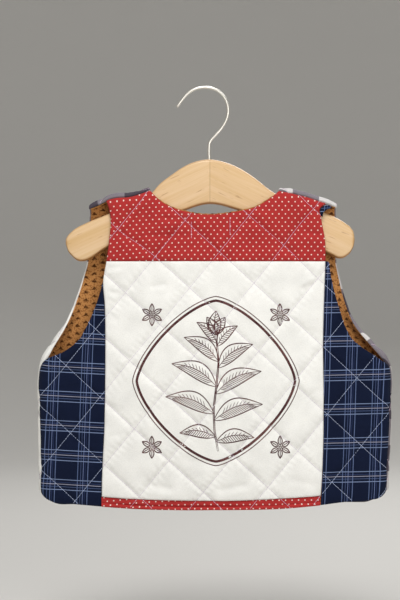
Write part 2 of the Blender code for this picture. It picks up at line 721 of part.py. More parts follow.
def build_hook():
    """Bent wire: a straight shank in the wood, then an open round hook."""
    route = np.array(HOOK)
    walked = np.concatenate([[0.0], np.cumsum(np.linalg.norm(np.diff(route, axis=0), axis=1))])
    table = np.column_stack([walked, route])
    stops = np.linspace(0.0, walked[-1], 34)
    x = curve(table, stops, 1)
    z = curve(table, stops, 2)
    line = bpy.data.curves.new("hanger_hook", "CURVE")
    line.dimensions = "3D"
    line.bevel_depth = WIRE / 2 * MM
    line.bevel_resolution = 2
    line.use_fill_caps = True
    spline = line.splines.new("POLY")
    spline.points.add(len(stops) - 1)
    places = np.stack([x * MM, 0 * x, z * MM, 1 + 0 * x], axis=-1)
    spline.points.foreach_set("co", places.ravel())
    guide = bpy.data.objects.new("hook_guide", line)
    bpy.context.scene.collection.objects.link(guide)
    mesh = bpy.data.meshes.new_from_object(guide.evaluated_get(bpy.context.evaluated_depsgraph_get()))
    bpy.data.objects.remove(guide, do_unlink=True)
    mesh.name = "hanger_hook"
    merge_points(mesh)
    finish_object("hanger_hook", mesh, STEEL_WIRE)


clear_scene()
build_back_yoke()
build_back_centre()
build_back_hem_band()
build_back_side("back_side_left", -1, 1)
build_back_side("back_side_right", 1, 2)
build_shoulder_patch()
build_front(-1, 1, "left")
build_front(1, 2, "right")
build_back_lining()
build_hanger()
build_hook()
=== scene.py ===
"""Looks of a toddler's quilted patchwork vest on a child's wooden hanger with a wire hook.

Sizes are in millimetres, and the finished meshes in metres. +Z is up, +X is to the right of someone who
faces the vest's back, +Y points to the vest's front, and the origin is the inside of the hook's crown.
Every cloth is cut flat, in distances along the cloth from the middle of the back and in heights, and is
bent round the body by the same functions as its solid, which it replaces at a finer grain.
"""

import math

import bmesh
import bpy
import numpy as np
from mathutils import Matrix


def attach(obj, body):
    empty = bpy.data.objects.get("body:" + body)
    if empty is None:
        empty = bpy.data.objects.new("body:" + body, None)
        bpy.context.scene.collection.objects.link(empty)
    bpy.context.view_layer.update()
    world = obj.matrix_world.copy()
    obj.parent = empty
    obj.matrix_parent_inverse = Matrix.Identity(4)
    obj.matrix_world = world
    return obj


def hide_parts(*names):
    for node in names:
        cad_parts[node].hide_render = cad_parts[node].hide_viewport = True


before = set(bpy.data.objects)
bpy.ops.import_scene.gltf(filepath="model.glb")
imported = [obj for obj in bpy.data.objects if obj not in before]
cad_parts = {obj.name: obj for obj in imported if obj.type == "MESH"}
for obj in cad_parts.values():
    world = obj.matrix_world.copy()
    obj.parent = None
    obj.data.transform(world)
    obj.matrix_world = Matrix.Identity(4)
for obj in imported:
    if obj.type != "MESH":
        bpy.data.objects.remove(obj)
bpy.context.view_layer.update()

# Studio: a round pale floor that curves up into a wall, three soft lamps, and the camera straight on to
# the vest's back from 1.6 m away, so that the picture's 600 pixels of height take in 600 mm there.
MM = 0.001
CAMERA_PLACE = (-4.5, -1618.0, -213.5)
CAMERA_LENS = 96.0
FLOOR_Z = -560.0
FLOOR_RADIUS = 3200.0
WALL_CURVE = 1400.0
WALL_TOP = 2400.0
LAMPS = (  # name, place, size, power in watts
    ("key_lamp", (-160.0, -1650.0, 2450.0), 1150.0, 66.0),
    ("fill_lamp", (600.0, -1800.0, 160.0), 950.0, 11.5),
    ("rim_lamp", (500.0, 1300.0, 1000.0), 1000.0, 22.0),
)
AIM = (10.0, 0.0, -230.0)
SKY_STRENGTH = 0.16


def linear(digits):
    """An sRGB colour, given as six hex digits, as linear red, green, blue and alpha."""
    parts = np.array([int(digits[i:i + 2], 16) for i in (1, 3, 5)]) / 255
    bent = np.where(parts <= 0.04045, parts / 12.92, ((parts + 0.055) / 1.055) ** 2.4)
    return (*bent.tolist(), 1.0)


def add(tree, kind, inputs, **settings):
    """Adds one shader node. An input that is another node's output is linked, any other is set."""
    node = tree.nodes.new("ShaderNode" + kind)
    for name, value in settings.items():
        setattr(node, name, value)
    for key, value in inputs.items():
        if isinstance(value, bpy.types.NodeSocket):
            tree.links.new(value, node.inputs[key])
        else:
            node.inputs[key].default_value = value
    return node


def new_material(name, values):
    """A new material with its shader's own values set; returns it, its node tree and the shader."""
    material = bpy.data.materials.new(name)
    material.use_nodes = True
    shader = material.node_tree.nodes["Principled BSDF"]
    for socket, value in values.items():
        shader.inputs[socket].default_value = value
    return material, material.node_tree, shader


def link_object(name, mesh, material):
    mesh.materials.append(material)
    item = bpy.data.objects.new(name, mesh)
    bpy.context.scene.collection.objects.link(item)
    return item


def ring_quads(index):
    """Quads between each two rows of an index grid whose rows close into rings."""
    here, ahead = index[:-1], index[1:]
    return np.stack([here, np.roll(here, -1, 1), np.roll(ahead, -1, 1), ahead], axis=-1).reshape(-1, 4)


# Matt painted board, rolled: the roller leaves an even, faint orange peel
floor_paint, tree, shader = new_material("floor_matt_paint", {
    "Roughness": 0.9, "Base Color": linear("#C4C2BE")})
board = add(tree, "TexCoord", {}).outputs["Object"]
peel = add(tree, "TexNoise", {"Vector": board, "Scale": 240.0})
bump = add(tree, "Bump", {"Height": peel.outputs[0], "Strength": 0.05, "Distance": 0.001})
tree.links.new(bump.outputs[0], shader.inputs["Normal"])

# The floor's profile, a line, a quarter circle and a line, is turned round the upright axis
bend = np.linspace(0, math.pi / 2, 25)
curved_out = FLOOR_RADIUS - WALL_CURVE + WALL_CURVE * np.sin(bend)
reach = np.concatenate([[0.01], curved_out, [FLOOR_RADIUS]])[:, None]
level = np.concatenate([[0.0], WALL_CURVE * (1 - np.cos(bend)), [WALL_TOP]])[:, None] + FLOOR_Z
turns = np.linspace(0, 2 * math.pi, 97)[None, :-1]
bowl = np.stack([reach * np.cos(turns), reach * np.sin(turns), level + 0 * turns], axis=-1)
bowl_quads = ring_quads(np.arange(bowl[..., 0].size).reshape(bowl.shape[:2]))
floor_mesh = bpy.data.meshes.new("floor")
floor_mesh.from_pydata((bowl.reshape(-1, 3) * MM).tolist(), [], bowl_quads.tolist())
floor_mesh.shade_smooth()
floor = link_object("floor", floor_mesh, floor_paint)

for name, place, size, power in LAMPS:
    lamp = bpy.data.lights.new(name, "AREA")
    lamp.size = size * MM
    lamp.energy = power
    holder = bpy.data.objects.new(name, lamp)
    towards = np.array(AIM) - np.array(place)
    holder.location = np.array(place) * MM
    level = math.hypot(towards[0], towards[1])
    holder.rotation_euler = (math.atan2(level, -towards[2]), 0, math.atan2(-towards[0], towards[1]))
    bpy.context.scene.collection.objects.link(holder)

sky = bpy.data.worlds.new("studio_sky")
sky.use_nodes = True
sky.node_tree.nodes["Background"].inputs["Color"].default_value = linear("#F1F0EE")
sky.node_tree.nodes["Background"].inputs["Strength"].default_value = SKY_STRENGTH
bpy.context.scene.world = sky
# Plain sRGB display, so that a colour in this light looks as its hex value says
bpy.context.scene.view_settings.view_transform = "Standard"

camera = bpy.data.objects.new("camera", bpy.data.cameras.new("camera"))
camera.location = np.array(CAMERA_PLACE) * MM
camera.rotation_euler = (math.pi / 2, 0, 0)
camera.data.lens = CAMERA_LENS
camera.data.sensor_width = 36.0
bpy.context.scene.collection.objects.link(camera)
bpy.context.scene.camera = camera

# Back yoke: pin-dot printed cotton over filling, from the long seam up to both shoulder seams and the
# neck. It is quilted in diamonds with pale lilac thread, and its edges are turned in.
CENTRE_X = 10.0
SEAM_GAP = 0.3
STITCH_WALL = 1.8
PUFF = 2.2
LEAST_WALL = 1.3         # where a crease is pressed in
EDGE_FADE = 9.0
YOKE_Z = -174.5
YOKE_DROP = 60.0
SHOULDER_RADIUS = 8.0
SHOULDER_SEAM = math.radians(43)
SMALL_STEP = 0.05
FINE_STEP = 1.3          # spacing of a quilted panel's points
TURNED_EDGE = 1.8        # width over which a sewn edge rounds down
TURNED_DROP = 1.25
SEAM_SINK = 0.4          # share of the filling that is pressed out beside a seam
SEAM_REACH = 3.5

QUILT_ACROSS = 64.7
QUILT_DOWN = 68.4
QUILT_TILT_X = 1 / 960
QUILT_TILT_Z = 1 / 925
QUILT_START = (0.44, -2.93)
LINE_SPACING = 47.0      # between two stitch lines of a family
QUILT_STRAYS = (  # where lines were sewn off their place: x, height, reach, shares of the spacing
    (-87.0, -142.0, 27.0, 0.0, -0.115),
    (98.0, -140.0, 32.0, 0.04, 0.06),
)
PUFF_REACH = 2.6         # how far from a stitch line the filling has mostly risen
VALLEY = 0.2             # rounds the bottom of the valley along a stitch line
PUCKER = 0.2             # small ripples that the stitches draw up beside a line
PUCKER_LENGTH = 6.3
PUCKER_REACH = 2.4

FOLDS = (  # height, left x, right x, left reach, right reach
    (-424.0, -165.0, 183.0, 54, 54),
    (-385.0, -164.8, 183.8, 54, 54),
    (-350.0, -164.8, 185.2, 54, 54),
    (-313.0, -165.8, 186.2, 54, 54),
    (-292.0, -165.4, 186.2, 54, 54),
    (-279.0, -163.4, 184.4, 54, 54),
    (-271.0, -160.4, 180.2, 40, 45),
    (-262.0, -155.5, 172.2, 42, 48),
    (-253.0, -149.0, 163.5, 52, 58),
    (-243.0, -142.0, 154.5, 66, 72),
    (-233.0, -136.5, 148.5, 84, 88),
    (-223.0, -133.0, 145.5, 104, 108),
    (-208.0, -131.0, 144.0, 134, 136),
    (-190.0, -129.8, 143.8, 164, 164),
    (-175.0, -127.8, 142.8, 180, 180),
    (-130.0, -124.6, 141.6, 180, 180),
    (-100.0, -123.4, 140.6, 180, 180),
)
DEPTHS = (  # height, radius of the side fold, swell of the middle
    (-424.0, 9.0, 4.5),
    (-360.0, 9.5, 8.0),
    (-300.0, 9.5, 8.5),
    (-240.0, 9.3, 6.0),
    (-185.0, 8.8, 1.6),
    (-150.0, 8.2, 0.2),
    (-130.0, 8.0, 0.0),
    (-100.0, 8.0, 0.0),
)
RIDGE = (  # x, height of the plain inside at the top of the straps
    (-116.0, -120.0),
    (-105.0, -115.0),
    (-97.0, -111.2),
    (-88.0, -109.2),
    (-76.0, -108.4),
    (-64.0, -105.0),
    (-54.0, -101.0),
    (74.0, -102.0),
    (88.0, -104.6),
    (100.0, -107.5),
    (112.0, -111.5),
    (122.0, -114.6),
    (133.0, -118.0),
)
BACK_EDGES = (  # height, left x, right x
    (-425.0, -103.4, 116.2),
    (-388.0, -102.6, 118.3),
    (-350.0, -100.6, 119.3),
    (-313.0, -99.8, 119.5),
    (-263.0, -99.5, 119.0),
    (-220.0, -100.2, 120.0),
    (-193.5, -101.8, 121.0),
    (-175.5, -98.8, 121.6),
    (-153.5, -96.0, 121.2),
    (-131.5, -94.5, 117.5),
    (-120.5, -96.6, 117.6),
    (-117.2, -97.6, 122.6),
    (-114.3, -98.8, 124.0),
)
BACK_NECK = (  # x, height
    (-55.0, -103.2),
    (-45.0, -113.2),
    (-34.5, -119.5),
    (-18.0, -124.6),
    (0.0, -127.4),
    (15.0, -127.0),
    (35.0, -124.0),
    (52.0, -119.6),
    (65.0, -111.8),
    (75.0, -104.2),
)
BACK_CREASES = (  # start x, start z, end x, end z, width, depth; less than 0 is a ridge
    (-58.5, -117.5, -78.5, -147.5, 3.2, 1.5),
    (-44.5, -131.0, -22.5, -133.5, 3.0, 1.1),
    (-61.5, -149.5, -13.5, -149.0, 4.0, 1.2),
    (-96.0, -139.0, -84.0, -136.0, 3.0, 0.9),
    (-13.2, -130.0, -13.2, -154.0, 1.6, 0.8),
    (25.6, -127.5, 25.6, -150.0, 1.6, 0.8),
    (53.0, -122.0, 68.0, -124.0, 3.2, 1.1),
    (28.0, -134.0, 54.0, -137.0, 3.2, 1.0),
    (98.0, -145.0, 119.0, -149.0, 3.6, 1.1),
    (62.0, -158.0, 96.0, -165.0, 4.4, 0.9),
    (-54.5, -201.0, -37.5, -197.5, 3.0, 0.9),
    (-98.0, -182.0, -81.5, -180.0, 3.0, 0.9),
    (-96.0, -205.0, -84.0, -208.5, 2.6, 0.9),
    (-97.0, -228.0, -86.0, -236.0, 3.0, 0.4),
    (112.0, -196.0, 96.0, -204.0, 3.0, 0.9),
    (117.0, -248.0, 104.0, -243.0, 3.2, 0.5),
    (117.0, -303.0, 102.0, -309.0, 3.2, 0.4),
    (-98.0, -318.0, -78.0, -326.0, 4.0, 0.5),
    (-99.0, -352.0, -82.0, -347.0, 3.6, 0.5),
    (-60.0, -398.0, -30.0, -403.0, 3.8, 0.9),
    (12.0, -404.0, 44.0, -398.0, 3.8, 0.9),
    (82.0, -392.0, 110.0, -399.0, 4.0, 0.5),
    (-20.0, -372.0, 20.0, -378.0, 5.0, 0.7),
    (-120.0, -300.0, -150.0, -306.0, 4.5, 0.5),
    (-108.0, -352.0, -132.0, -358.0, 4.0, 0.5),
    (-150.0, -388.0, -136.0, -400.0, 5.0, 0.6),
    (134.0, -262.0, 160.0, -282.0, 4.5, 0.6),
    (150.0, -330.0, 176.0, -336.0, 4.0, 0.5),
    (124.0, -386.0, 146.0, -392.0, 4.5, 0.5),
)

PIN_DOT_RED = "#B03433"
PIN_DOT_PALE = "#F4E6DC"
DOT_ACROSS = 6.5
DOT_DOWN = 8.2           # two staggered rows
DOT_RADIUS = 0.66
PRINT_SAG = 0.00058      # the printed rows droop towards the left shoulder
WEAVE = 1.15             # thread spacing: the real 0.5 mm would be too fine to show
WAVES = (  # turn across and turn down in radians a millimetre, start
    (0.13, 0.05, 0.3),
    (-0.07, 0.16, 1.9),
    (0.21, -0.12, 4.1),
    (0.05, 0.29, 2.2),
    (0.33, 0.14, 5.0),
)
WAVE_HEIGHT = 0.42


def curve(table, at, column):
    """Smooth curve through a table's rows: cubics whose slopes at each row are the mean of the chords."""
    rows = np.array(table, float)
    keys, values = rows[:, 0], rows[:, column]
    slopes = np.gradient(values, keys)
    at = np.clip(np.asarray(at, float), keys[0], keys[-1])
    low = np.clip(np.searchsorted(keys, at) - 1, 0, len(keys) - 2)
    span = keys[low + 1] - keys[low]
    t = (at - keys[low]) / span
    start = values[low] * (2 * t**3 - 3 * t**2 + 1) + slopes[low] * span * (t**3 - 2 * t**2 + t)
    finish = values[low + 1] * (3 * t**2 - 2 * t**3) + slopes[low + 1] * span * (t**3 - t**2)
    return start + finish


def blend(start, finish, share):
    return start + (finish - start) * share


def fold_sizes(side, height):
    """Radius of the side fold, and width of the flat cloth from the middle line to that fold."""
    radius = curve(DEPTHS, height, 1)
    left = CENTRE_X - curve(FOLDS, height, 1)
    right = curve(FOLDS, height, 2) - CENTRE_X
    return radius, np.where(np.asarray(side) < 0, left, right) - radius


def ridge(x):
    return curve(RIDGE, x, 1)


def around(along, height):
    """The plain inside of the body: a flat back, a half circle at the side fold and a flat front.

    A swell, (1 - share of the flat's width squared) squared, opens the flats. At the back the cloth
    also leans over the hanger along a circle under the strap's ridge.
    """
    side = np.sign(along)
    radius, flat = fold_sizes(side, height)
    turn = np.clip((np.abs(along) - flat) / radius, 0.0, math.pi)
    past = np.maximum(np.abs(along) - flat - math.pi * radius, 0.0)
    reach = np.minimum(np.abs(along), flat) - past
    x = CENTRE_X + side * (reach + radius * np.sin(turn))
    depth = radius + curve(DEPTHS, height, 2) * (1 - (reach / flat) ** 2) ** 2
    under = np.clip((ridge(x) - height) / SHOULDER_RADIUS, 0.0, 1.0)
    lean = np.where(turn < math.pi / 2, np.sqrt(1 - (1 - under) ** 2), 1.0)
    return np.stack([x, -np.cos(turn) * depth * lean, height + 0 * x], axis=-1)


def unit(arrows):
    return arrows / np.linalg.norm(arrows, axis=-1, keepdims=True)


def skin(shape, first, second):
    """Points of a surface with their outward normals beside them, from two small steps each way."""
    first, second = np.broadcast_arrays(first, second)
    across = shape(first + SMALL_STEP, second) - shape(first - SMALL_STEP, second)
    down = shape(first, second + SMALL_STEP) - shape(first, second - SMALL_STEP)
    return np.concatenate([shape(first, second), unit(np.cross(across, down))], axis=-1)


def back_point(x, height):
    return around(x - CENTRE_X, height)


def shares(length, step):
    """Shares from 0 to 1 along a length: even steps, and three closer ones at each end for its edge."""
    close = np.array([0.0, 0.25, 0.75]) / length
    even = np.linspace(1.4 / length, 1 - 1.4 / length, max(2, round((length - 2.8) / step) + 1))
    return np.concatenate([close, even, 1 - close[::-1]])


def quilt_lines(u, v):
    """Two numbers at a place on the cloth, each whole along one family of the slanting stitch lines."""
    across = QUILT_START[0] + u / QUILT_ACROSS + v * QUILT_TILT_X
    down = QUILT_START[1] + u * QUILT_TILT_Z - v / QUILT_DOWN
    rising, falling = down + across, down - across
    for stray_u, stray_v, reach, stray_rising, stray_falling in QUILT_STRAYS:
        near = np.exp(-((u - stray_u) ** 2 + (v - stray_v) ** 2) / reach**2)
        rising, falling = rising + stray_rising * near, falling + stray_falling * near
    return rising, falling


def quilt_relief(u, v):
    """Filling between the stitch lines: one less an exponential of the distance, for both families.

    Beside each line a sine along it, strongest a little way off, makes the small puckers.
    """
    rising, falling = quilt_lines(u, v)
    height = PUFF
    for here in (rising, falling):
        away = LINE_SPACING / math.pi * np.sin(math.pi * here)
        height = height * (1 - np.exp((VALLEY - np.hypot(away, VALLEY)) / PUFF_REACH))
    for here, other in ((rising, falling), (falling, rising)):
        away = np.abs(here - np.round(here)) * LINE_SPACING / PUCKER_REACH
        uneven = 1.9 * np.sin(3.7 * other + 5 * here)
        phase = 2 * math.pi * other * LINE_SPACING / PUCKER_LENGTH + uneven
        height = height + PUCKER * np.sin(phase) * away * np.exp(1 - away)
    return height


def creases(table, u, v):
    """Soft folds: across each line a bell-shaped trough with a lower ridge on one side of it."""
    total = 0 * u
    for start_u, start_v, end_u, end_v, width, depth in table:
        run, rise = end_u - start_u, end_v - start_v
        length = math.hypot(run, rise)
        share = ((u - start_u) * run + (v - start_v) * rise) / length**2
        aside = ((u - start_u) * rise - (v - start_v) * run) / length / width
        taper = np.exp(-np.maximum(np.abs(share - 0.5) * 2 - 0.6, 0.0) ** 2 * 9)
        total = total + depth * taper * (0.4 * np.exp(-(aside - 1.6) ** 2) - np.exp(-aside**2))
    return total


def wrinkles(u, v):
    """Slow uneven waves all over the cloth: five sines of unlike lengths and slants."""
    total = 0 * u
    for count, (across, down, start) in enumerate(WAVES):
        total = total + np.sin(across * u + down * v + start) / (count + 2)
    return WAVE_HEIGHT * total


def edge_distances(points):
    """Distance of every point from the first and last row and the first and last column."""
    edges = {"first_row": points[:1], "last_row": points[-1:],
             "first_column": points[:, :1], "last_column": points[:, -1:]}
    return {name: np.linalg.norm(points - edge, axis=-1) for name, edge in edges.items()}


def raise_cloth(sheet, u, v, free_edges, folds):
    """Outside of a quilted panel: its wall, the filling, the listed creases and turned edges.

    The filling fades out at a free edge and is pressed down beside a seam. Each edge rounds off along
    a quarter of an ellipse.
    """
    points, normal = sheet[..., :3], sheet[..., 3:]
    filling = quilt_relief(u, v) + wrinkles(u, v) + creases(folds, u, v)
    drop = 0.0
    for name, away in edge_distances(points).items():
        if name in free_edges:
            filling = filling * np.clip(away / EDGE_FADE, 0.0, 1.0) ** 0.5
        else:
            filling = filling * (1 - SEAM_SINK * np.exp(-away / SEAM_REACH))
        left = 1 - np.clip(away / TURNED_EDGE, 0.0, 1.0)
        drop = np.maximum(drop, TURNED_DROP * (1 - np.sqrt(1 - left**2)))
    raised = np.maximum(STITCH_WALL + filling, LEAST_WALL) - drop
    return points + normal * raised[..., None]


def finish_mesh(name, points, faces, sharp, fields):
    """A smooth mesh in metres with its faces turned outwards, and with vector fields in millimetres."""
    mesh = bpy.data.meshes.new(name)
    mesh.from_pydata((points * MM).tolist(), [], faces)
    solid = bmesh.new()
    solid.from_mesh(mesh)
    bmesh.ops.recalc_face_normals(solid, faces=solid.faces)
    if solid.calc_volume(signed=True) < 0:
        bmesh.ops.reverse_faces(solid, faces=solid.faces)
    solid.to_mesh(mesh)
    solid.free()
    mesh.shade_smooth()
    mesh.set_sharp_from_angle(angle=math.radians(sharp))
    for field, values in fields.items():
        kept = mesh.attributes.new(field, "FLOAT_VECTOR", "POINT")
        kept.data.foreach_set("vector", np.ascontiguousarray(values, np.float32).ravel())
    return mesh


def add_piece(name, mesh, material, nodes=()):
    """Links a piece, which rides the one body, and hides the solids that it replaces."""
    item = link_object(name, mesh, material)
    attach(item, "root")
    if nodes:
        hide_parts(*nodes)
    return item


def cloth_piece(name, inner, outer, u, v, material, slot, nodes):
    """A closed wall of cloth between two grids of one shape, with a rim of quads round its edges."""
    rows, columns = inner.shape[:2]
    count = rows * columns
    index = np.arange(count).reshape(rows, columns)
    corners = [index[:-1, :-1], index[:-1, 1:], index[1:, 1:], index[1:, :-1]]
    quads = np.stack(corners, axis=-1).reshape(-1, 4)
    loop = np.concatenate([index[0, :-1], index[:-1, -1], index[-1, :0:-1], index[:0:-1, 0]])
    ahead = np.roll(loop, -1)
    rim = np.stack([ahead, loop, loop + count, ahead + count], axis=-1)
    faces = np.concatenate([quads[:, ::-1], quads + count, rim]).tolist()
    points = np.concatenate([inner.reshape(-1, 3), outer.reshape(-1, 3)])
    flat = np.stack(np.broadcast_arrays(u, v, 0.0), axis=-1).reshape(-1, 3)
    mesh = finish_mesh(name, points, faces, 60, {"cloth": np.concatenate([flat, flat])})
    return add_piece(name, mesh, material, nodes)


def cotton(name, paint, ground, weave=WEAVE):
    """Plain-woven quilting cotton: dull, a little fuzzy, its threads just felt as a fine grid.

    The weave's height is the product of a sine across and a sine down the cloth, over faint noise.
    """
    material, tree, shader = new_material(name, {"Roughness": 0.88, "Specular IOR Level": 0.06,
                                                 "Sheen Weight": 0.03, "Sheen Roughness": 0.55})
    cloth = add(tree, "Attribute", {}, attribute_name="cloth").outputs["Vector"]
    waves = []
    for part in add(tree, "SeparateXYZ", {"Vector": cloth}).outputs[:2]:
        turn = add(tree, "Math", {0: part, 1: 2 * math.pi / weave}, operation="MULTIPLY")
        waves.append(add(tree, "Math", {0: turn.outputs[0]}, operation="SINE").outputs[0])
    threads = add(tree, "Math", {0: waves[0], 1: waves[1]}, operation="MULTIPLY").outputs[0]
    slubs = add(tree, "TexNoise", {"Vector": cloth, "Scale": 0.9, "Detail": 4.0}).outputs[0]
    mottle = add(tree, "TexNoise", {"Vector": cloth, "Scale": 0.05, "Detail": 3.0}).outputs[0]
    height = add(tree, "Math", {0: threads, 1: 0.5, 2: slubs}, operation="MULTIPLY_ADD").outputs[0]
    both = add(tree, "Math", {0: slubs, 1: mottle}, operation="ADD").outputs[0]
    shade = add(tree, "MapRange", {0: both, 1: 0.65, 2: 1.35, 3: 0.88, 4: 1.06}).outputs[0]
    shade = add(tree, "Math", {0: threads, 1: 0.035, 2: shade}, operation="MULTIPLY_ADD").outputs[0]
    toned = add(tree, "HueSaturation", {"Value": shade, "Color": paint(tree, cloth, ground)}).outputs[0]
    tree.links.new(toned, shader.inputs["Base Color"])
    bump = add(tree, "Bump", {"Height": height, "Strength": 0.35, "Distance": 0.0002})
    tree.links.new(bump.outputs[0], shader.inputs["Normal"])
    return material


def staggered_cells(tree, place, step):
    """Places from the middle of their own cell, in two even grids of which one lies a half step off."""
    scaled = add(tree, "VectorMath", {0: place, 1: step}, operation="DIVIDE").outputs[0]
    cells = []
    for shift in (0.0, 0.5):
        moved = add(tree, "VectorMath", {0: scaled, 1: (shift, shift, 0.0)}, operation="ADD").outputs[0]
        cell = add(tree, "VectorMath", {0: moved}, operation="FRACTION").outputs[0]
        centred = add(tree, "VectorMath", {0: cell, 1: (0.5, 0.5, 0.0)}, operation="SUBTRACT").outputs[0]
        cells.append(add(tree, "VectorMath", {0: centred, 1: step}, operation="MULTIPLY").outputs[0])
    return cells


def pin_dots(tree, cloth, ground):
    """Printed dots: the distance to the nearer of two even grids of points, one a half step off."""
    apart = add(tree, "SeparateXYZ", {"Vector": cloth}).outputs
    left = add(tree, "Math", {0: apart[0], 1: 0.0}, operation="MINIMUM").outputs[0]
    square = add(tree, "Math", {0: left, 1: left}, operation="MULTIPLY").outputs[0]
    level = add(tree, "Math", {0: square, 1: PRINT_SAG, 2: apart[1]}, operation="MULTIPLY_ADD").outputs[0]
    place = add(tree, "CombineXYZ", {0: apart[0], 1: level}).outputs[0]
    away = [add(tree, "VectorMath", {0: cell}, operation="LENGTH").outputs["Value"]
            for cell in staggered_cells(tree, place, (DOT_ACROSS, DOT_DOWN, 1.0))]
    nearest = add(tree, "Math", {0: away[0], 1: away[1]}, operation="MINIMUM").outputs[0]
    dot = add(tree, "MapRange", {0: nearest, 1: DOT_RADIUS + 0.2, 2: DOT_RADIUS - 0.2, 3: 0.0, 4: 0.95})
    mixed = add(tree, "Mix", {0: dot.outputs[0], 6: linear(ground), 7: linear(PIN_DOT_PALE)},
                data_type="RGBA")
    return mixed.outputs[2]


def seam_height(x):
    """Height of the shoulder seam, a little way down the strap's back."""
    return ridge(x) - SHOULDER_RADIUS * (1 - math.cos(SHOULDER_SEAM)) - SEAM_GAP


def yoke_edge(rows, column):
    """Places and heights of the yoke's edge at the armhole, from its seam to the shoulder."""
    height = blend(YOKE_Z + SEAM_GAP / 2, seam_height(BACK_EDGES[-1][column]), rows)
    return curve(BACK_EDGES, height, column), height


def yoke_top(x):
    """Height of the yoke's upper edge: the shoulder seams, and the neck's curve between them."""
    shoulder = seam_height(x)
    at_neck = (x > BACK_NECK[0][0] - SEAM_GAP) & (x < BACK_NECK[-1][0] + SEAM_GAP)
    return np.where(at_neck, np.minimum(curve(BACK_NECK, x, 1), shoulder), shoulder)


def yoke_sheet(rows, step):
    """Plain inside of the yoke, in three stretches: left strap, neck and right strap."""
    neck_left, neck_right = BACK_NECK[0][0], BACK_NECK[-1][0]
    strap = shares(neck_left - BACK_EDGES[0][1], step)
    neck = np.linspace(0.0, 1.0, round((neck_right - neck_left) / step))
    x = np.concatenate([
        blend(yoke_edge(rows, 1)[0], neck_left, strap[:-4]),
        blend(neck_left, neck_right, neck) + 0 * rows,
        blend(neck_right, yoke_edge(rows, 2)[0], strap[4:]),
    ], axis=1)
    height = blend(YOKE_Z + SEAM_GAP / 2, yoke_top(x[-1:]), rows)
    return skin(back_point, x, height), x, height


def outer_normals(outer, base):
    """Normals of a raised surface, from its neighbouring points, on the side of the plain one's."""
    normal = unit(np.cross(np.gradient(outer, axis=1), np.gradient(outer, axis=0)))
    return normal * np.sign((normal * base).sum(axis=-1, keepdims=True))


def line_paths(outer, normal, field, other, value):
    """Where a field passes a value on the grid's edges, in the order of a second field along that line.

    Each place is blended between an edge's two ends by how far off the value they are, and the line
    is cut where the panel's edge interrupts it.
    """
    every, before, after = slice(None), slice(None, -1), slice(1, None)
    grids = np.concatenate([outer, normal, other[..., None]], axis=-1)
    found = []
    for start, finish in (((every, before), (every, after)), ((before, every), (after, every))):
        short = field[start] - value
        beyond = field[finish] - value
        crossed = (short < 0) != (beyond < 0)
        share = (short[crossed] / (short[crossed] - beyond[crossed]))[:, None]
        found.append(blend(grids[start][crossed], grids[finish][crossed], share))
    found = np.concatenate(found)
    found = found[np.argsort(found[:, 6])]
    jumps = np.linalg.norm(np.diff(found[:, :3], axis=0), axis=1) > 2.5 * FINE_STEP
    return [(part[:, :3], part[:, 3:6]) for part in np.split(found, np.flatnonzero(jumps) + 1)]


def quilting_paths(outer, normal, u, v):
    """Every stitch line of both families that crosses a panel."""
    rising, falling = quilt_lines(u, v)
    paths = []
    for field, other in ((rising, falling), (falling, rising)):
        for value in range(math.ceil(field.min()), math.floor(field.max()) + 1):
            paths += line_paths(outer, normal, field, other, value)
    return paths


STITCH_PITCH = 2.9
STITCH_LENGTH = 2.75
THREAD_RADIUS = 0.25     # the real 0.15 mm would be too fine to show
STITCH_SHAPE = (  # share of the length from the middle, height in radii, thickness in radii
    (-0.5, -0.3, 0.6),
    (-0.3, 0.5, 0.95),
    (0.0, 0.7, 1.05),
    (0.3, 0.5, 0.95),
    (0.5, -0.3, 0.6),
)


def thread_material(name, colour):
    """Spun polyester sewing thread: two plies twisted, smooth, with a low gloss."""
    material, tree, shader = new_material(name, {"Roughness": 0.55, "Sheen Weight": 0.1})
    place = add(tree, "TexCoord", {}).outputs["Object"]
    twist = add(tree, "TexNoise", {"Vector": place, "Scale": 2200.0, "Detail": 2.0}).outputs[0]
    tone = add(tree, "MapRange", {0: twist, 1: 0.3, 2: 0.7, 3: 0.85, 4: 1.08}).outputs[0]
    toned = add(tree, "HueSaturation", {"Value": tone, "Color": linear(colour)}).outputs[0]
    tree.links.new(toned, shader.inputs["Base Color"])
    bump = add(tree, "Bump", {"Height": twist, "Strength": 0.2, "Distance": 0.0001})
    tree.links.new(bump.outputs[0], shader.inputs["Normal"])
    return material


def walked_along(path):
    """Distance along a path to each of its points."""
    return np.concatenate([[0.0], np.cumsum(np.linalg.norm(np.diff(path, axis=0), axis=1))])


def at_stops(stops, walked, path):
    return np.stack([np.interp(stops, walked, column) for column in path.T], axis=-1)


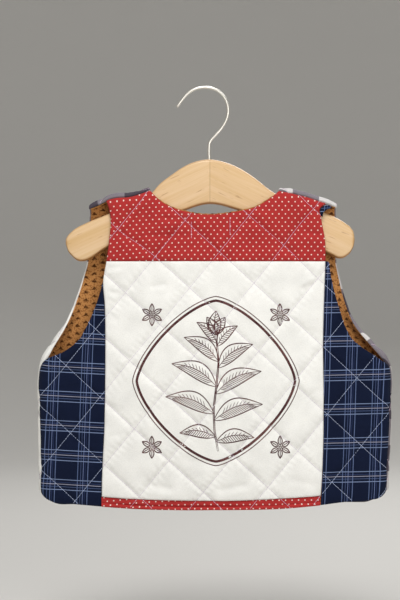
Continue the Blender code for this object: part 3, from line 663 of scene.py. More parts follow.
def sew(name, paths, material):
    """Machine stitches along paths: each is a short four-sided thread whose ends dip into the cloth."""
    places = []
    for points, normals in paths:
        if len(points) < 3:
            continue
        walked = walked_along(points)
        middles = np.arange(0.6 * STITCH_PITCH, walked[-1] - 0.5 * STITCH_PITCH, STITCH_PITCH)
        run = at_stops(middles + 0.5, walked, points) - at_stops(middles - 0.5, walked, points)
        centre, upward = at_stops(middles, walked, points), at_stops(middles, walked, normals)
        places.append(np.stack([centre, upward, run], axis=1))
    middle, normal, run = np.concatenate(places).transpose(1, 0, 2)
    normal = unit(normal)
    aside = unit(np.cross(run, normal))
    run = np.cross(normal, aside)
    rings = []
    for share, lift, thick in STITCH_SHAPE:
        centre = middle + run * share * STITCH_LENGTH + normal * lift * THREAD_RADIUS
        for turn in (0.25, 0.75, 1.25, 1.75):
            across, up = math.cos(turn * math.pi), math.sin(turn * math.pi)
            rings.append(centre + (aside * across + normal * up) * thick * THREAD_RADIUS)
    points = np.stack(rings, axis=1)
    index = np.arange(4 * len(STITCH_SHAPE)).reshape(-1, 4)
    one = np.concatenate([ring_quads(index), index[:1, ::-1], index[-1:]])
    faces = (one[None] + np.arange(len(points))[:, None, None] * points.shape[1]).reshape(-1, 4)
    mesh = finish_mesh(name, points.reshape(-1, 3), faces.tolist(), 80, {})
    return add_piece(name, mesh, material)


def quilted_piece(node, sheet, outer, cut, material, slot, thread, quilt=None, rows=()):
    """The cloth of one solid and its stitches: the lattice, and short upright rows.

    The cut is where each point lies on the flat cloth, and the quilt where it lies on the lattice, if
    that is another place.
    """
    cloth = cloth_piece(node + "_cloth", sheet[..., :3], outer, *cut, material, slot, [node])
    normal = outer_normals(outer, sheet[..., 3:])
    paths = quilting_paths(outer, normal, *(quilt or cut))
    for row_x, row_top, row_foot in rows:
        for points, normals in line_paths(outer, normal, *cut, row_x):
            kept = (points[:, 2] < row_top) & (points[:, 2] > row_foot)
            paths.append([points[kept], normals[kept]])
    return cloth, sew(node + "_quilting", paths, thread)


NECK_ROWS = ((-13.2, -131.5, -153.0), (25.6, -129.5, -148.5))      # x, top and foot of two upright rows

# Pin-dot cotton, printed with pale dots on a red ground and washed once, so it is matt and mottled
pin_dot_cotton = cotton("pin_dot_quilting_cotton", pin_dots, PIN_DOT_RED)
# Pale lilac polyester, a shade that reads pink on the red
lilac_thread = thread_material("lilac_polyester_thread", "#D6B9D2")

yoke_rows = shares(YOKE_DROP, FINE_STEP)[:, None]
sheet, u, v = yoke_sheet(yoke_rows, FINE_STEP)
outer = raise_cloth(sheet, u, v, ("last_row", "first_column"), BACK_CREASES)
yoke, yoke_thread = quilted_piece("back_yoke", sheet, outer, (u, v), pin_dot_cotton, "red_pin_dot",
                                  lilac_thread, rows=NECK_ROWS)

# Centre panel: natural canvas between the yoke, the two sides and the hem band, quilted with a thread
# almost of its own colour.
PANEL_DROP = 240.0
PANEL_WIDTH = 220.0
BACK_HEM = (  # x, height of the band's seam, height of the hem
    (-165.0, -395.0, -405.0),
    (-161.0, -400.0, -411.0),
    (-152.0, -405.0, -416.8),
    (-130.0, -408.0, -418.8),
    (-103.0, -411.0, -421.0),
    (-75.0, -413.0, -422.8),
    (-25.0, -414.4, -424.2),
    (15.0, -414.8, -424.0),
    (85.0, -412.2, -422.4),
    (116.0, -410.2, -419.6),
    (140.0, -408.0, -416.6),
    (166.0, -405.0, -414.6),
    (179.0, -399.0, -410.0),
    (183.0, -395.0, -405.0),
)


def plain_ground(tree, cloth, ground):
    """Undyed cloth: the ground with seed-coat flecks where fine noise is highest."""
    flecks = add(tree, "TexNoise", {"Vector": cloth, "Scale": 0.35, "Detail": 5.0}).outputs[0]
    share = add(tree, "MapRange", {0: flecks, 1: 0.62, 2: 0.8, 3: 0.0, 4: 0.4}).outputs[0]
    mixed = add(tree, "Mix", {0: share, 6: linear(ground), 7: linear("#DCD4C2")}, data_type="RGBA")
    return mixed.outputs[2]


# Natural cotton canvas, unbleached: a warm off-white with a soft, dry surface
cream_canvas = cotton("natural_cotton_canvas", plain_ground, "#F2F1EC", weave=1.3)
# Faint lilac polyester, which all but goes under in the canvas
cream_thread = thread_material("faint_lilac_polyester_thread", "#CFC4D2")

panel_rows = shares(PANEL_DROP, FINE_STEP)
panel_columns = shares(PANEL_WIDTH, FINE_STEP)
height = blend(YOKE_Z - SEAM_GAP / 2, curve(BACK_HEM, CENTRE_X, 1), panel_rows[:, None])
left, right = curve(BACK_EDGES, height, 1) + SEAM_GAP / 2, curve(BACK_EDGES, height, 2) - SEAM_GAP / 2
u = blend(left, right, panel_columns[None, :])
v = blend(YOKE_Z - SEAM_GAP / 2, curve(BACK_HEM, u, 1) + SEAM_GAP / 2, panel_rows[:, None])
panel_sheet = skin(back_point, u, v)
panel_outer = raise_cloth(panel_sheet, u, v, (), BACK_CREASES)
panel_normal = outer_normals(panel_outer, panel_sheet[..., 3:])
panel, panel_thread = quilted_piece("back_centre", panel_sheet, panel_outer, (u, v), cream_canvas,
                                    "cream_canvas", cream_thread)

# Print on the centre panel: a leafy sprig in a lozenge of a thick and a thin line, with a small flower
# in each corner, screen printed in brown. Every drawn line is a thin closed film of ink on the canvas.
PRINT_CENTRE = (11.5, -294.5)
PRINT_STEP = 1.1
INK_ABOVE = 0.12
INK_BELOW = 0.3
FRAME_LINES = (  # half width, half height, thickness of the line
    (79.0, 80.0, 2.5),
    (83.2, 84.2, 0.9),
)
FRAME_POWER = 1.45       # 1 is a straight-sided lozenge, 2 an ellipse
FINE_LINE = 0.8
STEM = ((2.0, -70.0), (-1.5, -50.0), (-2.5, -28.0), (0.5, -4.0), (2.5, 18.0), (1.0, 36.0), (0.0, 46.0))
LEAVES = (  # place on the stem from foot to top, slant from level in degrees, length, half width
    (0.08, 6.0, 38.0, 6.6),
    (0.12, 174.0, 36.0, 6.2),
    (0.25, 18.0, 51.0, 8.4),
    (0.30, 161.0, 51.0, 8.4),
    (0.44, 26.0, 51.0, 8.4),
    (0.49, 153.0, 50.0, 8.2),
    (0.63, 34.0, 42.0, 7.3),
    (0.68, 145.0, 42.0, 7.2),
    (0.82, 45.0, 29.0, 5.4),
    (0.86, 134.0, 29.0, 5.4),
)
PETALS = ((90.0, 24.0, 6.2), (62.0, 20.0, 5.0), (118.0, 20.0, 5.0))      # slant, length, half width
CORNER_FLOWER = (64.0, 66.0, 6, 9.5, 2.1)       # across, up, petals, length, half width of a petal
STEM_HALF = 0.6
EYE_RADIUS = 1.2         # of a corner flower, and where its petals start
PETALS_FROM = 1.9
LINE_END = 0.35          # share of an open line's thickness that is left at its ends
HATCH_COUNT = 13
HATCHES = (  # first and last place, least count, leaf length for the full count, lean, reach, thickness
    (0.12, 0.78, 3, 40, 0.1, 0.92, 0.7),
    (0.2, 0.7, 2, 80, 0.08, -0.55, 0.55),
)


def pointed(start, slant, length, half_width, bend=0.12):
    """A leaf from its foot: middle line, two edges as sine arches about it, and slanting hatch strokes.

    The middle line is a shallow arch itself. The hatch strokes fill the lower half, as an engraver
    shades it, each from the middle line forward to the edge. A few short light ones lie in the upper.
    """
    turn = math.radians(slant)
    ahead = np.array([math.cos(turn), math.sin(turn)])
    aside = np.array([-math.sin(turn), math.cos(turn)])
    low = -1.0 if math.cos(turn) > 0 else 1.0

    def place(t, off):
        arch = -low * bend * length * np.sin(math.pi * t)
        swell = half_width * np.sin(math.pi * t ** 0.85)
        return start + length * t[:, None] * ahead + (arch + off * swell)[:, None] * aside

    t = np.linspace(0.0, 1.0, 40)
    drawn = [(place(t, 0.0), FINE_LINE), (place(t, 1.0), 1.1), (place(t, -1.0), 1.1)]
    hatch = np.linspace(0.0, 1.0, 8)
    for first, last, least, full, lean, reach, thick in HATCHES:
        for share in np.linspace(first, last, max(least, round(HATCH_COUNT * length / full))):
            drawn.append((place(share + lean * hatch, low * reach * hatch), thick))
    return drawn


def ring(middle, radius):
    turns = np.linspace(0.0, 2 * math.pi, 25)
    return middle + radius * np.stack([np.cos(turns), np.sin(turns)], axis=-1)


def on_stem(share):
    at = share * (len(STEM) - 1)
    return np.array([np.interp(at, range(len(STEM)), column) for column in zip(*STEM)])


def sprig_print():
    """All drawn lines of the print about its centre, each with its greatest thickness."""
    drawn = []
    turns = np.linspace(0.0, 2 * math.pi, 480)
    for half_across, half_up, thick in FRAME_LINES:
        cos, sin = np.cos(turns), np.sin(turns)
        power = 2 / FRAME_POWER
        drawn.append((np.stack([half_across * np.sign(cos) * np.abs(cos) ** power,
                                half_up * np.sign(sin) * np.abs(sin) ** power], axis=-1), thick))
    shares_up = np.linspace(0.0, 1.0, 60)
    stem = np.array([on_stem(share) for share in shares_up])
    drawn += [(stem + (STEM_HALF, 0.0), 0.9), (stem - (STEM_HALF, 0.0), 0.9)]
    for share, slant, length, half_width in LEAVES:
        drawn += pointed(on_stem(share), slant, length, half_width)
    for slant, length, half_width in PETALS:
        drawn += pointed(on_stem(1.0), slant, length, half_width, 0.06)
    across, up, petals, length, half_width = CORNER_FLOWER
    for corner_x, corner_z in ((-across, up), (across, up), (-across, -up), (across, -up)):
        middle = np.array([corner_x, corner_z])
        drawn.append((ring(middle, EYE_RADIUS), 0.9))
        for count in range(petals):
            slant = 360.0 * count / petals + 30.0
            turn = math.radians(slant)
            foot = middle + PETALS_FROM * np.array([math.cos(turn), math.sin(turn)])
            drawn += pointed(foot, slant, length, half_width, 0.0)[:3]
    return drawn


def on_panel(x, z):
    """Points and normals of the raised panel under flat places, blended between its four neighbours."""
    down = (z - (YOKE_Z - SEAM_GAP / 2)) / (curve(BACK_HEM, x, 1) - YOKE_Z + SEAM_GAP)
    level = blend(YOKE_Z - SEAM_GAP / 2, curve(BACK_HEM, CENTRE_X, 1), down)
    left, right = curve(BACK_EDGES, level, 1), curve(BACK_EDGES, level, 2)
    row = np.interp(down, panel_rows, np.arange(len(panel_rows)))
    column = np.interp((x - left) / (right - left), panel_columns, np.arange(len(panel_columns)))
    low_row, low_column = np.floor(row).astype(int), np.floor(column).astype(int)
    down, along = (row - low_row)[..., None], (column - low_column)[..., None]
    grids = np.concatenate([panel_outer, panel_normal], axis=-1)
    upper = blend(grids[low_row, low_column], grids[low_row, low_column + 1], along)
    lower = blend(grids[low_row + 1, low_column], grids[low_row + 1, low_column + 1], along)
    found = blend(upper, lower, down)
    return found[..., :3], found[..., 3:]


def ink_film(drawn):
    """Closed flat films along lines: two edges on the cloth, with a top above it and a foot below it.

    A line's thickness swells from its ends as a root of a sine, except where the line is closed.
    """
    points, faces, count = [], [], 0
    for flat, thick in drawn:
        walked = walked_along(flat)
        stops = np.linspace(0.0, walked[-1], max(9, round(walked[-1] / PRINT_STEP)))
        path = at_stops(stops, walked, flat) + PRINT_CENTRE
        closed = np.linalg.norm(flat[0] - flat[-1]) < 0.01
        run = np.gradient(path, axis=0)
        if closed:
            run[0] = run[-1] = path[1] - path[-2]
        run = unit(run)
        arch = np.abs(np.sin(math.pi * stops / walked[-1])) ** 0.5
        swell = 1.0 if closed else LINE_END + (1 - LINE_END) * arch
        aside = np.stack([-run[:, 1], run[:, 0]], axis=-1) * (thick / 2 * swell + 0 * stops)[:, None]
        edges = np.stack([path + aside, path - aside], axis=1)
        place, normal = on_panel(edges[..., 0], edges[..., 1])
        above, below = place + normal * INK_ABOVE, place - normal * INK_BELOW
        rings = np.concatenate([above, below[:, ::-1]], axis=1)
        index = np.arange(rings.shape[0] * 4).reshape(-1, 4) + count
        faces.append(np.concatenate([ring_quads(index), index[:1, ::-1], index[-1:]]))
        points.append(rings.reshape(-1, 3))
        count += rings.shape[0] * 4
    return np.concatenate(points), np.concatenate(faces)


def pigment_ink():
    """Water-based pigment ink, screen printed: dull brown, and paler where the cloth took less of it."""
    material, tree, shader = new_material("brown_pigment_ink", {
        "Roughness": 0.85, "Specular IOR Level": 0.2})
    place = add(tree, "TexCoord", {}).outputs["Object"]
    grain = add(tree, "TexNoise", {"Vector": place, "Scale": 900.0, "Detail": 3.0}).outputs[0]
    cover = add(tree, "TexNoise", {"Vector": place, "Scale": 60.0, "Detail": 2.0}).outputs[0]
    both = add(tree, "Math", {0: grain, 1: cover}, operation="ADD").outputs[0]
    share = add(tree, "MapRange", {0: both, 1: 0.9, 2: 1.35}).outputs[0]
    ink = add(tree, "Mix", {0: share, 6: linear("#47272A"), 7: linear("#7C5652")}, data_type="RGBA")
    tree.links.new(ink.outputs[2], shader.inputs["Base Color"])
    bump = add(tree, "Bump", {"Height": grain, "Strength": 0.2, "Distance": 0.0001})
    tree.links.new(bump.outputs[0], shader.inputs["Normal"])
    return material


points, faces = ink_film(sprig_print())
film = finish_mesh("back_centre_print", points, faces.tolist(), 60, {})
panel_print = add_piece("back_centre_print", film, pigment_ink())

# Hem band: a narrow strip of the pin-dot cotton under the centre panel, sewn on along its upper edge.
# Its lower edge is turned up and curls into a roll, tightest left of the middle.
HEM_ROLL = 3.5
HEM_ROLL_PROUD = 1.4
ROLL_STRETCH = (-90.0, 44.0)     # where the roll is tight
ROLL_EASE = 14.0                 # it slackens over this width, down to a share of its height
SLACK_ROLL = 0.45
GROOVE_WIDTH = 0.95              # of the crease above the roll
GROOVE_DEPTH = 1.25

band_rows = np.concatenate([shares(10.0, 1.0) * 0.62, np.linspace(0.62, 1.0, 13)[1:]])[:, None]
band_x = blend(BACK_EDGES[0][1] + SEAM_GAP / 2, BACK_EDGES[0][2] - SEAM_GAP / 2, panel_columns[None, :])
band_x = band_x + 0 * band_rows
seam = curve(BACK_HEM, band_x, 1) - SEAM_GAP / 2
foot = curve(BACK_HEM, band_x, 2)
v = blend(seam, foot, band_rows)
sheet = skin(back_point, band_x, v)
roll = np.clip((v - foot) / HEM_ROLL, 0.0, 1.0)
tight_left = np.clip((band_x - ROLL_STRETCH[0]) / ROLL_EASE, 0, 1)
tight_right = np.clip((ROLL_STRETCH[1] - band_x) / ROLL_EASE, 0, 1)
tight = SLACK_ROLL + (1 - SLACK_ROLL) * tight_left * tight_right
round_roll = np.sqrt(np.clip(1 - (2 * roll - 1) ** 2, 0.0, 1.0))
groove = np.exp(-((v - foot - HEM_ROLL) / GROOVE_WIDTH) ** 2)
proud = HEM_ROLL_PROUD * tight * round_roll - GROOVE_DEPTH * tight * groove
top_edge = 1 - np.clip((seam - v) / TURNED_EDGE, 0.0, 1.0)
raised = STITCH_WALL + proud + 0.5 * wrinkles(band_x, v) - TURNED_DROP * (1 - np.sqrt(1 - top_edge**2))
outer = sheet[..., :3] + sheet[..., 3:] * raised[..., None]
band, band_thread = quilted_piece("back_hem_band", sheet, outer, (band_x, v), pin_dot_cotton,
                                  "red_pin_dot", lilac_thread)

# Side panels: navy cotton with woven light checks, from the centre panel's seams to the side seams.
# Those lie just round the side folds. Each panel is cut out under the arm.
UNDERARM_Z = -279.0
HEM_CORNER_Z = -405.0
SIDE_DROP = 200.0
ARMHOLE_LENGTH = 1.25    # of the armhole's curve, over the panel's width
BACK_ARMHOLES = (  # height, left x, right x
    (-279.0, -164.5, 185.5),
    (-275.5, -161.5, 179.0),
    (-271.0, -154.5, 173.0),
    (-267.0, -144.5, 167.5),
    (-261.5, -135.5, 159.0),
    (-253.0, -126.0, 148.7),
    (-243.0, -120.0, 142.8),
    (-223.5, -111.0, 136.0),
    (-193.5, -101.8, 127.9),
    (-173.5, -98.5, 124.8),
)
NAVY = "#121A31"
CHECK_BARS = (  # place in the group, width, colour across, colour down
    (0.0, 0.6, "#8394B8", "#5E6F96"),
    (3.0, 0.4, "#566589", "#4C5B82"),
    (5.5, 0.5, "#A6A6B8", "#6B7AA4"),
    (7.4, 0.35, "#3A4770", "#303C64"),
    (10.2, 0.6, "#8394B8", "#64759C"),
)
GROUP_START = 1.0        # of the first bar in each repeat of the check
LEFT_CHECK = (33.0, -112.5, -0.04, 29.5, -353.0, 0.05)     # period, place and slant, across and down
RIGHT_CHECK = (27.1, 151.0, -0.035, 34.0, -297.9, -0.02)


def stripes(tree, place, period, start, thread):
    """Coloured bars across a warp or weft that repeats: a ramp over the share of the period."""
    ground = linear(NAVY)
    moved = add(tree, "Math", {0: place, 1: start}, operation="SUBTRACT").outputs[0]
    share = add(tree, "Math", {0: moved, 1: period}, operation="DIVIDE").outputs[0]
    cell = add(tree, "Math", {0: share}, operation="FRACT").outputs[0]
    ramp = add(tree, "ValToRGB", {0: cell})
    elements = ramp.color_ramp.elements
    elements.remove(elements[1])
    elements[0].position = 0.0
    elements[0].color = ground
    for middle, width, *colours in CHECK_BARS:
        bar = linear(colours[thread])
        for off, colour in ((-0.75, ground), (-0.3, bar), (0.3, bar), (0.75, ground)):
            elements.new((middle + GROUP_START + width * off) / period).color = colour
    return ramp.outputs[0]


def woven_check(tree, cloth, sizes):
    """Checks woven of light warp and weft threads: the lighter of bars across and bars down."""
    across, across_start, lean, down, down_start, slant = sizes
    x, y = add(tree, "SeparateXYZ", {"Vector": cloth}).outputs[:2]
    upright = add(tree, "Math", {0: y, 1: lean, 2: x}, operation="MULTIPLY_ADD").outputs[0]
    level = add(tree, "Math", {0: x, 1: slant, 2: y}, operation="MULTIPLY_ADD").outputs[0]
    warp = stripes(tree, upright, across, across_start, 1)
    weft = stripes(tree, level, down, down_start, 0)
    mixed = add(tree, "Mix", {0: 1.0, 6: warp, 7: weft}, data_type="RGBA", blend_type="LIGHTEN")
    return mixed.outputs[2]


def side_seam(side, height):
    """Distance along the cloth to the seam of the side panel and the front, behind the side fold."""
    radius, flat = fold_sizes(side, height)
    return side * (flat + radius * np.radians(curve(FOLDS, UNDERARM_Z, 3)))


def side_panel(side, column):
    """Coons patch in (along, height) between the armhole, the hem, the centre seam and the side one."""
    half = SEAM_GAP / 2
    top_z = BACK_EDGES[6][0] if side < 0 else YOKE_Z
    seam_x = curve(BACK_EDGES, top_z, column) + side * half
    width = abs(side_seam(side, UNDERARM_Z)) - abs(seam_x - CENTRE_X)
    across = shares(width * ARMHOLE_LENGTH, FINE_STEP)
    down = shares(SIDE_DROP, FINE_STEP)
    fine = np.linspace(top_z, UNDERARM_Z, 400)
    edge = curve(BACK_ARMHOLES, fine, column) - CENTRE_X
    edge[0] = seam_x - CENTRE_X
    edge[-1] = side_seam(side, UNDERARM_Z) - side * half
    walked = np.concatenate([[0.0], np.cumsum(np.hypot(np.diff(edge), np.diff(fine)))])
    stops = walked[-1] * across
    top = np.stack([np.interp(stops, walked, edge), np.interp(stops, walked, fine)], axis=-1)
    foot_seam = curve(BACK_EDGES, BACK_EDGES[0][0], column) + side * half - CENTRE_X
    foot_side = side_seam(side, HEM_CORNER_Z) - side * half
    foot_along = blend(foot_seam, foot_side, across)
    foot_x = around(foot_along, np.full(len(across), HEM_CORNER_Z))[:, 0]
    foot = np.stack([foot_along, curve(BACK_HEM, foot_x, 2)], axis=-1)
    seam_z = blend(top_z, foot[0, 1], down)
    first = np.stack([curve(BACK_EDGES, seam_z, column) + side * half - CENTRE_X, seam_z], axis=-1)
    first[-1, 0] = foot_seam
    side_z = blend(UNDERARM_Z, foot[-1, 1], down)
    last = np.stack([side_seam(side, side_z) - side * half, side_z], axis=-1)
    last[-1, 0] = foot_side
    down, across = down[:, None, None], across[None, :, None]
    ruled = blend(top[None], foot[None], down) + blend(first[:, None], last[:, None], across)
    corners = blend(blend(top[0], top[-1], across), blend(foot[0], foot[-1], across), down)
    flat = ruled - corners
    return skin(around, flat[..., 0], flat[..., 1]), flat[..., 0] + CENTRE_X, flat[..., 1]


PATCH_WIDTH = (2.0, 6.0)     # the cloth's end at the right shoulder, at its foot and at its top
PATCH_SLOPE = 0.45
PATCH_FOOT = 0.79        # where it starts, as a share of the yoke's height
PATCH_STEP = 0.8


def shoulder_patch(material):
    """End of the right side panel's cloth, which shows again in the corner of yoke and shoulder."""
    rows = yoke_rows[yoke_rows[:, 0] > PATCH_FOOT]
    seam, height = yoke_edge(rows, 2)
    width = blend(PATCH_WIDTH[0], PATCH_WIDTH[1], (rows - rows[0]) / (1 - rows[0]))
    across = shares(PATCH_WIDTH[1], PATCH_STEP)[None, :]
    u = seam + SEAM_GAP + width * across
    v = height - PATCH_SLOPE * width * across
    sheet = skin(back_point, u, v)
    outer = raise_cloth(sheet, u, v, ("first_row", "last_row", "first_column", "last_column"), ())
    return cloth_piece("shoulder_patch_right_cloth", sheet[..., :3], outer, u, v, material,
                       "navy_plaid", ["shoulder_patch_right"])


# Pale blue polyester, a little lighter than the check's bars
blue_thread = thread_material("pale_blue_polyester_thread", "#B3BFDC")

for hand, side, column, sizes in (("left", -1, 1, LEFT_CHECK), ("right", 1, 2, RIGHT_CHECK)):
    # Yarn-dyed navy cotton: the light threads are woven in, so each bar is made of fine dashes
    navy_cotton = cotton("navy_checked_cotton_" + hand, woven_check, sizes)
    sheet, u, v = side_panel(side, column)
    outer = raise_cloth(sheet, u, v, ("first_row", "last_row"), BACK_CREASES)
    side_cloth, *sewn_on = quilted_piece("back_side_" + hand, sheet, outer, (u, v), navy_cotton,
                                         "navy_plaid", blue_thread)
    if side > 0:
        sewn_on.append(shoulder_patch(navy_cotton))

# Fronts: the left has a checked yoke over a canvas panel, the right is one checked piece. Both come
# over the shoulders from the seams behind, and meet edge to edge at the middle.
FRONT_GAP = 1.0
FRONT_HEM_Z = -419.0
FRONT_WIDTH = 170.0
HEM_RISE = 13.0
HEM_RISE_WIDTH = 24.0
FRONT_NECK = (  # height, left x, right x
    (-174.5, 9.5, 10.5),
    (-160.0, -16.0, 36.0),
    (-145.0, -34.0, 54.0),
    (-128.0, -47.0, 67.5),
    (-108.0, -54.6, 74.6),
    (-100.0, -55.0, 75.0),
)
FRONT_CREASES = (  # start along, start height, end along, end height, width, depth
    (-120.0, -210.0, -80.0, -222.0, 5.0, 0.7),
    (-140.0, -300.0, -100.0, -292.0, 5.0, 0.7),
    (-60.0, -190.0, -40.0, -240.0, 5.0, 0.6),
    (-90.0, -350.0, -50.0, -362.0, 6.0, 0.7),
    (-30.0, -385.0, -5.0, -402.0, 5.0, 0.6),
    (60.0, -200.0, 95.0, -228.0, 5.0, 0.7),
    (100.0, -290.0, 150.0, -302.0, 5.0, 0.7),
    (40.0, -330.0, 80.0, -322.0, 6.0, 0.6),
    (110.0, -372.0, 150.0, -385.0, 5.0, 0.7),
    (-92.0, -135.0, -70.0, -150.0, 3.5, 0.5),
    (92.0, -130.0, 112.0, -148.0, 3.5, 0.5),
    (-200.0, -174.5, 200.0, -174.5, 1.4, 0.9),
)
FRONT_STEP = 1.7
SHOULDER_ARC = 2.3 * SHOULDER_RADIUS     # of cloth over a strap's ridge
CHECK_SQUARE = 26.25
CHECK_DARK = "#8E8890"
CHECK_LIGHT = "#E9E7E6"


def over_shoulder(x, angle):
    """Points of a strap's plain inside: 0 is the ridge, less is behind it, a quarter turn the front."""
    z = ridge(x) - SHOULDER_RADIUS * (1 - np.cos(angle))
    return np.stack([x + 0 * z, SHOULDER_RADIUS * np.sin(angle) + 0 * z, z], axis=-1)


def body_rows(side, column, across, share, top, foot, inset):
    """Rows of a front between two heights. The hem rises over the last stretch to the side fold."""
    height = blend(top, foot, share)
    radius, flat = fold_sizes(side, height)
    reach = np.radians(curve(FOLDS, height, column + 2))
    outer_edge = side * (flat + radius * reach + SEAM_GAP / 2) + side * inset
    middle = side * (2 * flat + math.pi * radius - FRONT_GAP / 2) - side * inset
    along = blend(outer_edge, middle, across)
    if foot < UNDERARM_Z:
        from_fold = (np.abs(along) - flat - 2.0 * radius) / HEM_RISE_WIDTH
        height = height + HEM_RISE * np.clip(1 - from_fold, 0.0, 1.0) ** 2 * share**2
    return along, height


def front_sheet(side, column, step, inset=0.0):
    """A front's plain inside, row by row from the shoulder seam to the hem, with its flat cut.

    The cut's height goes on over the shoulder as the length of the arc. Its width is measured back from
    the middle edge, so that it runs on without a jump round the side fold.
    """
    across = shares(FRONT_WIDTH, step)[None, :]
    arch = blend(-SHOULDER_SEAM, math.pi / 2, shares(SHOULDER_ARC, step))[:, None]
    strap = np.linspace(0.0, 1.0, round(YOKE_DROP / step))[1:, None]
    armhole = np.linspace(0.0, 1.0, round((YOKE_Z - UNDERARM_Z) / step))[1:, None]
    lower = shares(UNDERARM_Z - FRONT_HEM_Z, step)[3:, None]
    outer_x = CENTRE_X + side * (fold_sizes(side, RIDGE[0][1])[1] - inset)
    inner_x = curve(FRONT_NECK, RIDGE[6][1], column) + side * inset
    x = blend(outer_x, inner_x, across)
    rows = [skin(over_shoulder, x, arch)]
    cuts = [(x + 0 * arch, ridge(x) - SHOULDER_RADIUS + SHOULDER_RADIUS * (math.pi / 2 - arch))]
    height = blend(ridge(x) - SHOULDER_RADIUS, YOKE_Z, strap)
    outer_x = CENTRE_X + side * (fold_sizes(side, height[:, :1])[1] - inset)
    x = blend(outer_x, curve(FRONT_NECK, height[:, -1:], column) + side * inset, across)
    radius, flat = fold_sizes(side, height)
    stretches = [(side * (2 * flat + math.pi * radius - np.abs(x - CENTRE_X)), height)]
    stretches.append(body_rows(side, column, across, armhole, YOKE_Z, UNDERARM_Z, inset))
    stretches.append(body_rows(side, column, across, lower, UNDERARM_Z, FRONT_HEM_Z + inset, inset))
    for along, height in stretches:
        radius, flat = fold_sizes(side, height)
        rows.append(skin(around, along, height))
        from_middle = 2 * flat + math.pi * radius - np.abs(along)
        cuts.append((CENTRE_X + side * from_middle, height + 0 * along))
    seam_row = len(arch) + len(strap) - 1
    u, v = (np.concatenate([cut[part] for cut in cuts]) for part in (0, 1))
    return np.concatenate(rows), u, v, seam_row


def gingham(tree, cloth, ground):
    """Two-tone gingham: dark bands across times dark bands down, each half of a repeat wide.

    Its ground is the edge of a dark column and of a dark row, and how far the rows jump at the yoke.
    """
    x, y = add(tree, "SeparateXYZ", {"Vector": cloth}).outputs[:2]
    above = add(tree, "Math", {0: y, 1: YOKE_Z}, operation="GREATER_THAN").outputs[0]
    down = add(tree, "Math", {0: above, 1: -ground[2], 2: y}, operation="MULTIPLY_ADD").outputs[0]
    tones = []
    for place, start in ((x, ground[0]), (down, ground[1])):
        moved = add(tree, "Math", {0: place, 1: start - CHECK_SQUARE / 2}, operation="SUBTRACT").outputs[0]
        share = add(tree, "Math", {0: moved, 1: CHECK_SQUARE}, operation="DIVIDE").outputs[0]
        cell = add(tree, "Math", {0: share, 1: 1.0}, operation="PINGPONG").outputs[0]
        soft = add(tree, "MapRange", {0: cell, 1: 0.49, 2: 0.51}).outputs[0]
        tone = add(tree, "Mix", {0: soft, 6: linear(CHECK_LIGHT), 7: linear(CHECK_DARK)}, data_type="RGBA")
        tones.append(tone.outputs[2])
    mixed = add(tree, "Mix", {0: 1.0, 6: tones[0], 7: tones[1]}, data_type="RGBA", blend_type="MULTIPLY")
    return mixed.outputs[2]


def front_cloth(node, rows, keep, free_edges, material, slot, thread):
    """One sewn piece of a front: its rows of the sheet, raised and quilted."""
    sheet, u, v = (grid[keep] for grid in rows[:3])
    mirrored = 2 * CENTRE_X - u
    outer = raise_cloth(sheet, mirrored, v, free_edges, FRONT_CREASES)
    item, sewn = quilted_piece(node, sheet, outer, (u, v), material, slot, thread, quilt=(mirrored, v))


# Gingham, woven of white and grey-plum yarns: crossing bands mix to a mid and a dark tone
yoke_gingham = cotton("grey_gingham_cotton_yoke", gingham, (-80.5, -113.0, 0.0))
side_gingham = cotton("grey_gingham_cotton_front", gingham, (88.5, -333.5, 30.0))

UPRIGHT_EDGES = ("first_column", "last_column")
left_rows = front_sheet(-1, 1, FRONT_STEP)
seam_row = left_rows[3]
front_cloth("front_left_yoke", left_rows, slice(None, seam_row + 1), UPRIGHT_EDGES,
            yoke_gingham, "grey_check", lilac_thread)
front_cloth("front_left_panel", left_rows, slice(seam_row, None), (*UPRIGHT_EDGES, "last_row"),
            cream_canvas, "cream_canvas", cream_thread)
front_cloth("front_right_panel", front_sheet(1, 2, FRONT_STEP), slice(None), (*UPRIGHT_EDGES, "last_row"),
            side_gingham, "grey_check", lilac_thread)

# Lining: tan printed cotton behind the fronts and the back, sewn in along every free edge, where it
# comes up to the quilted cloth. It shows through the armholes, and as a fine edge round the neck.
LINING_WALL = 1.0
LINING_GAP = 0.9
LINING_INSET = 1.2
LINING_STEP = 3.2
LINING_TURN = math.radians(25)
EDGE_PINCH = 5.0         # the lining closes on the quilted cloth over this width
LEAST_GAP = 0.06
NECK_LIFT = 0.9          # the lining's edge stands above the yoke's at the neck
NECK_SCALLOP = 0.3
NECK_SCALLOP_LENGTH = 6.5
LINING_HEM_Z = -408.0
LINING_HEM_EASE = 20.0   # above the hem, where the rows turn from its curve to level ones
TAN = "#BF874F"
LEAF_BROWN = "#4E2C15"
LEAF_ACROSS = 8.6
LEAF_DOWN = 15.2
LEAF_SHAKE = 2.6


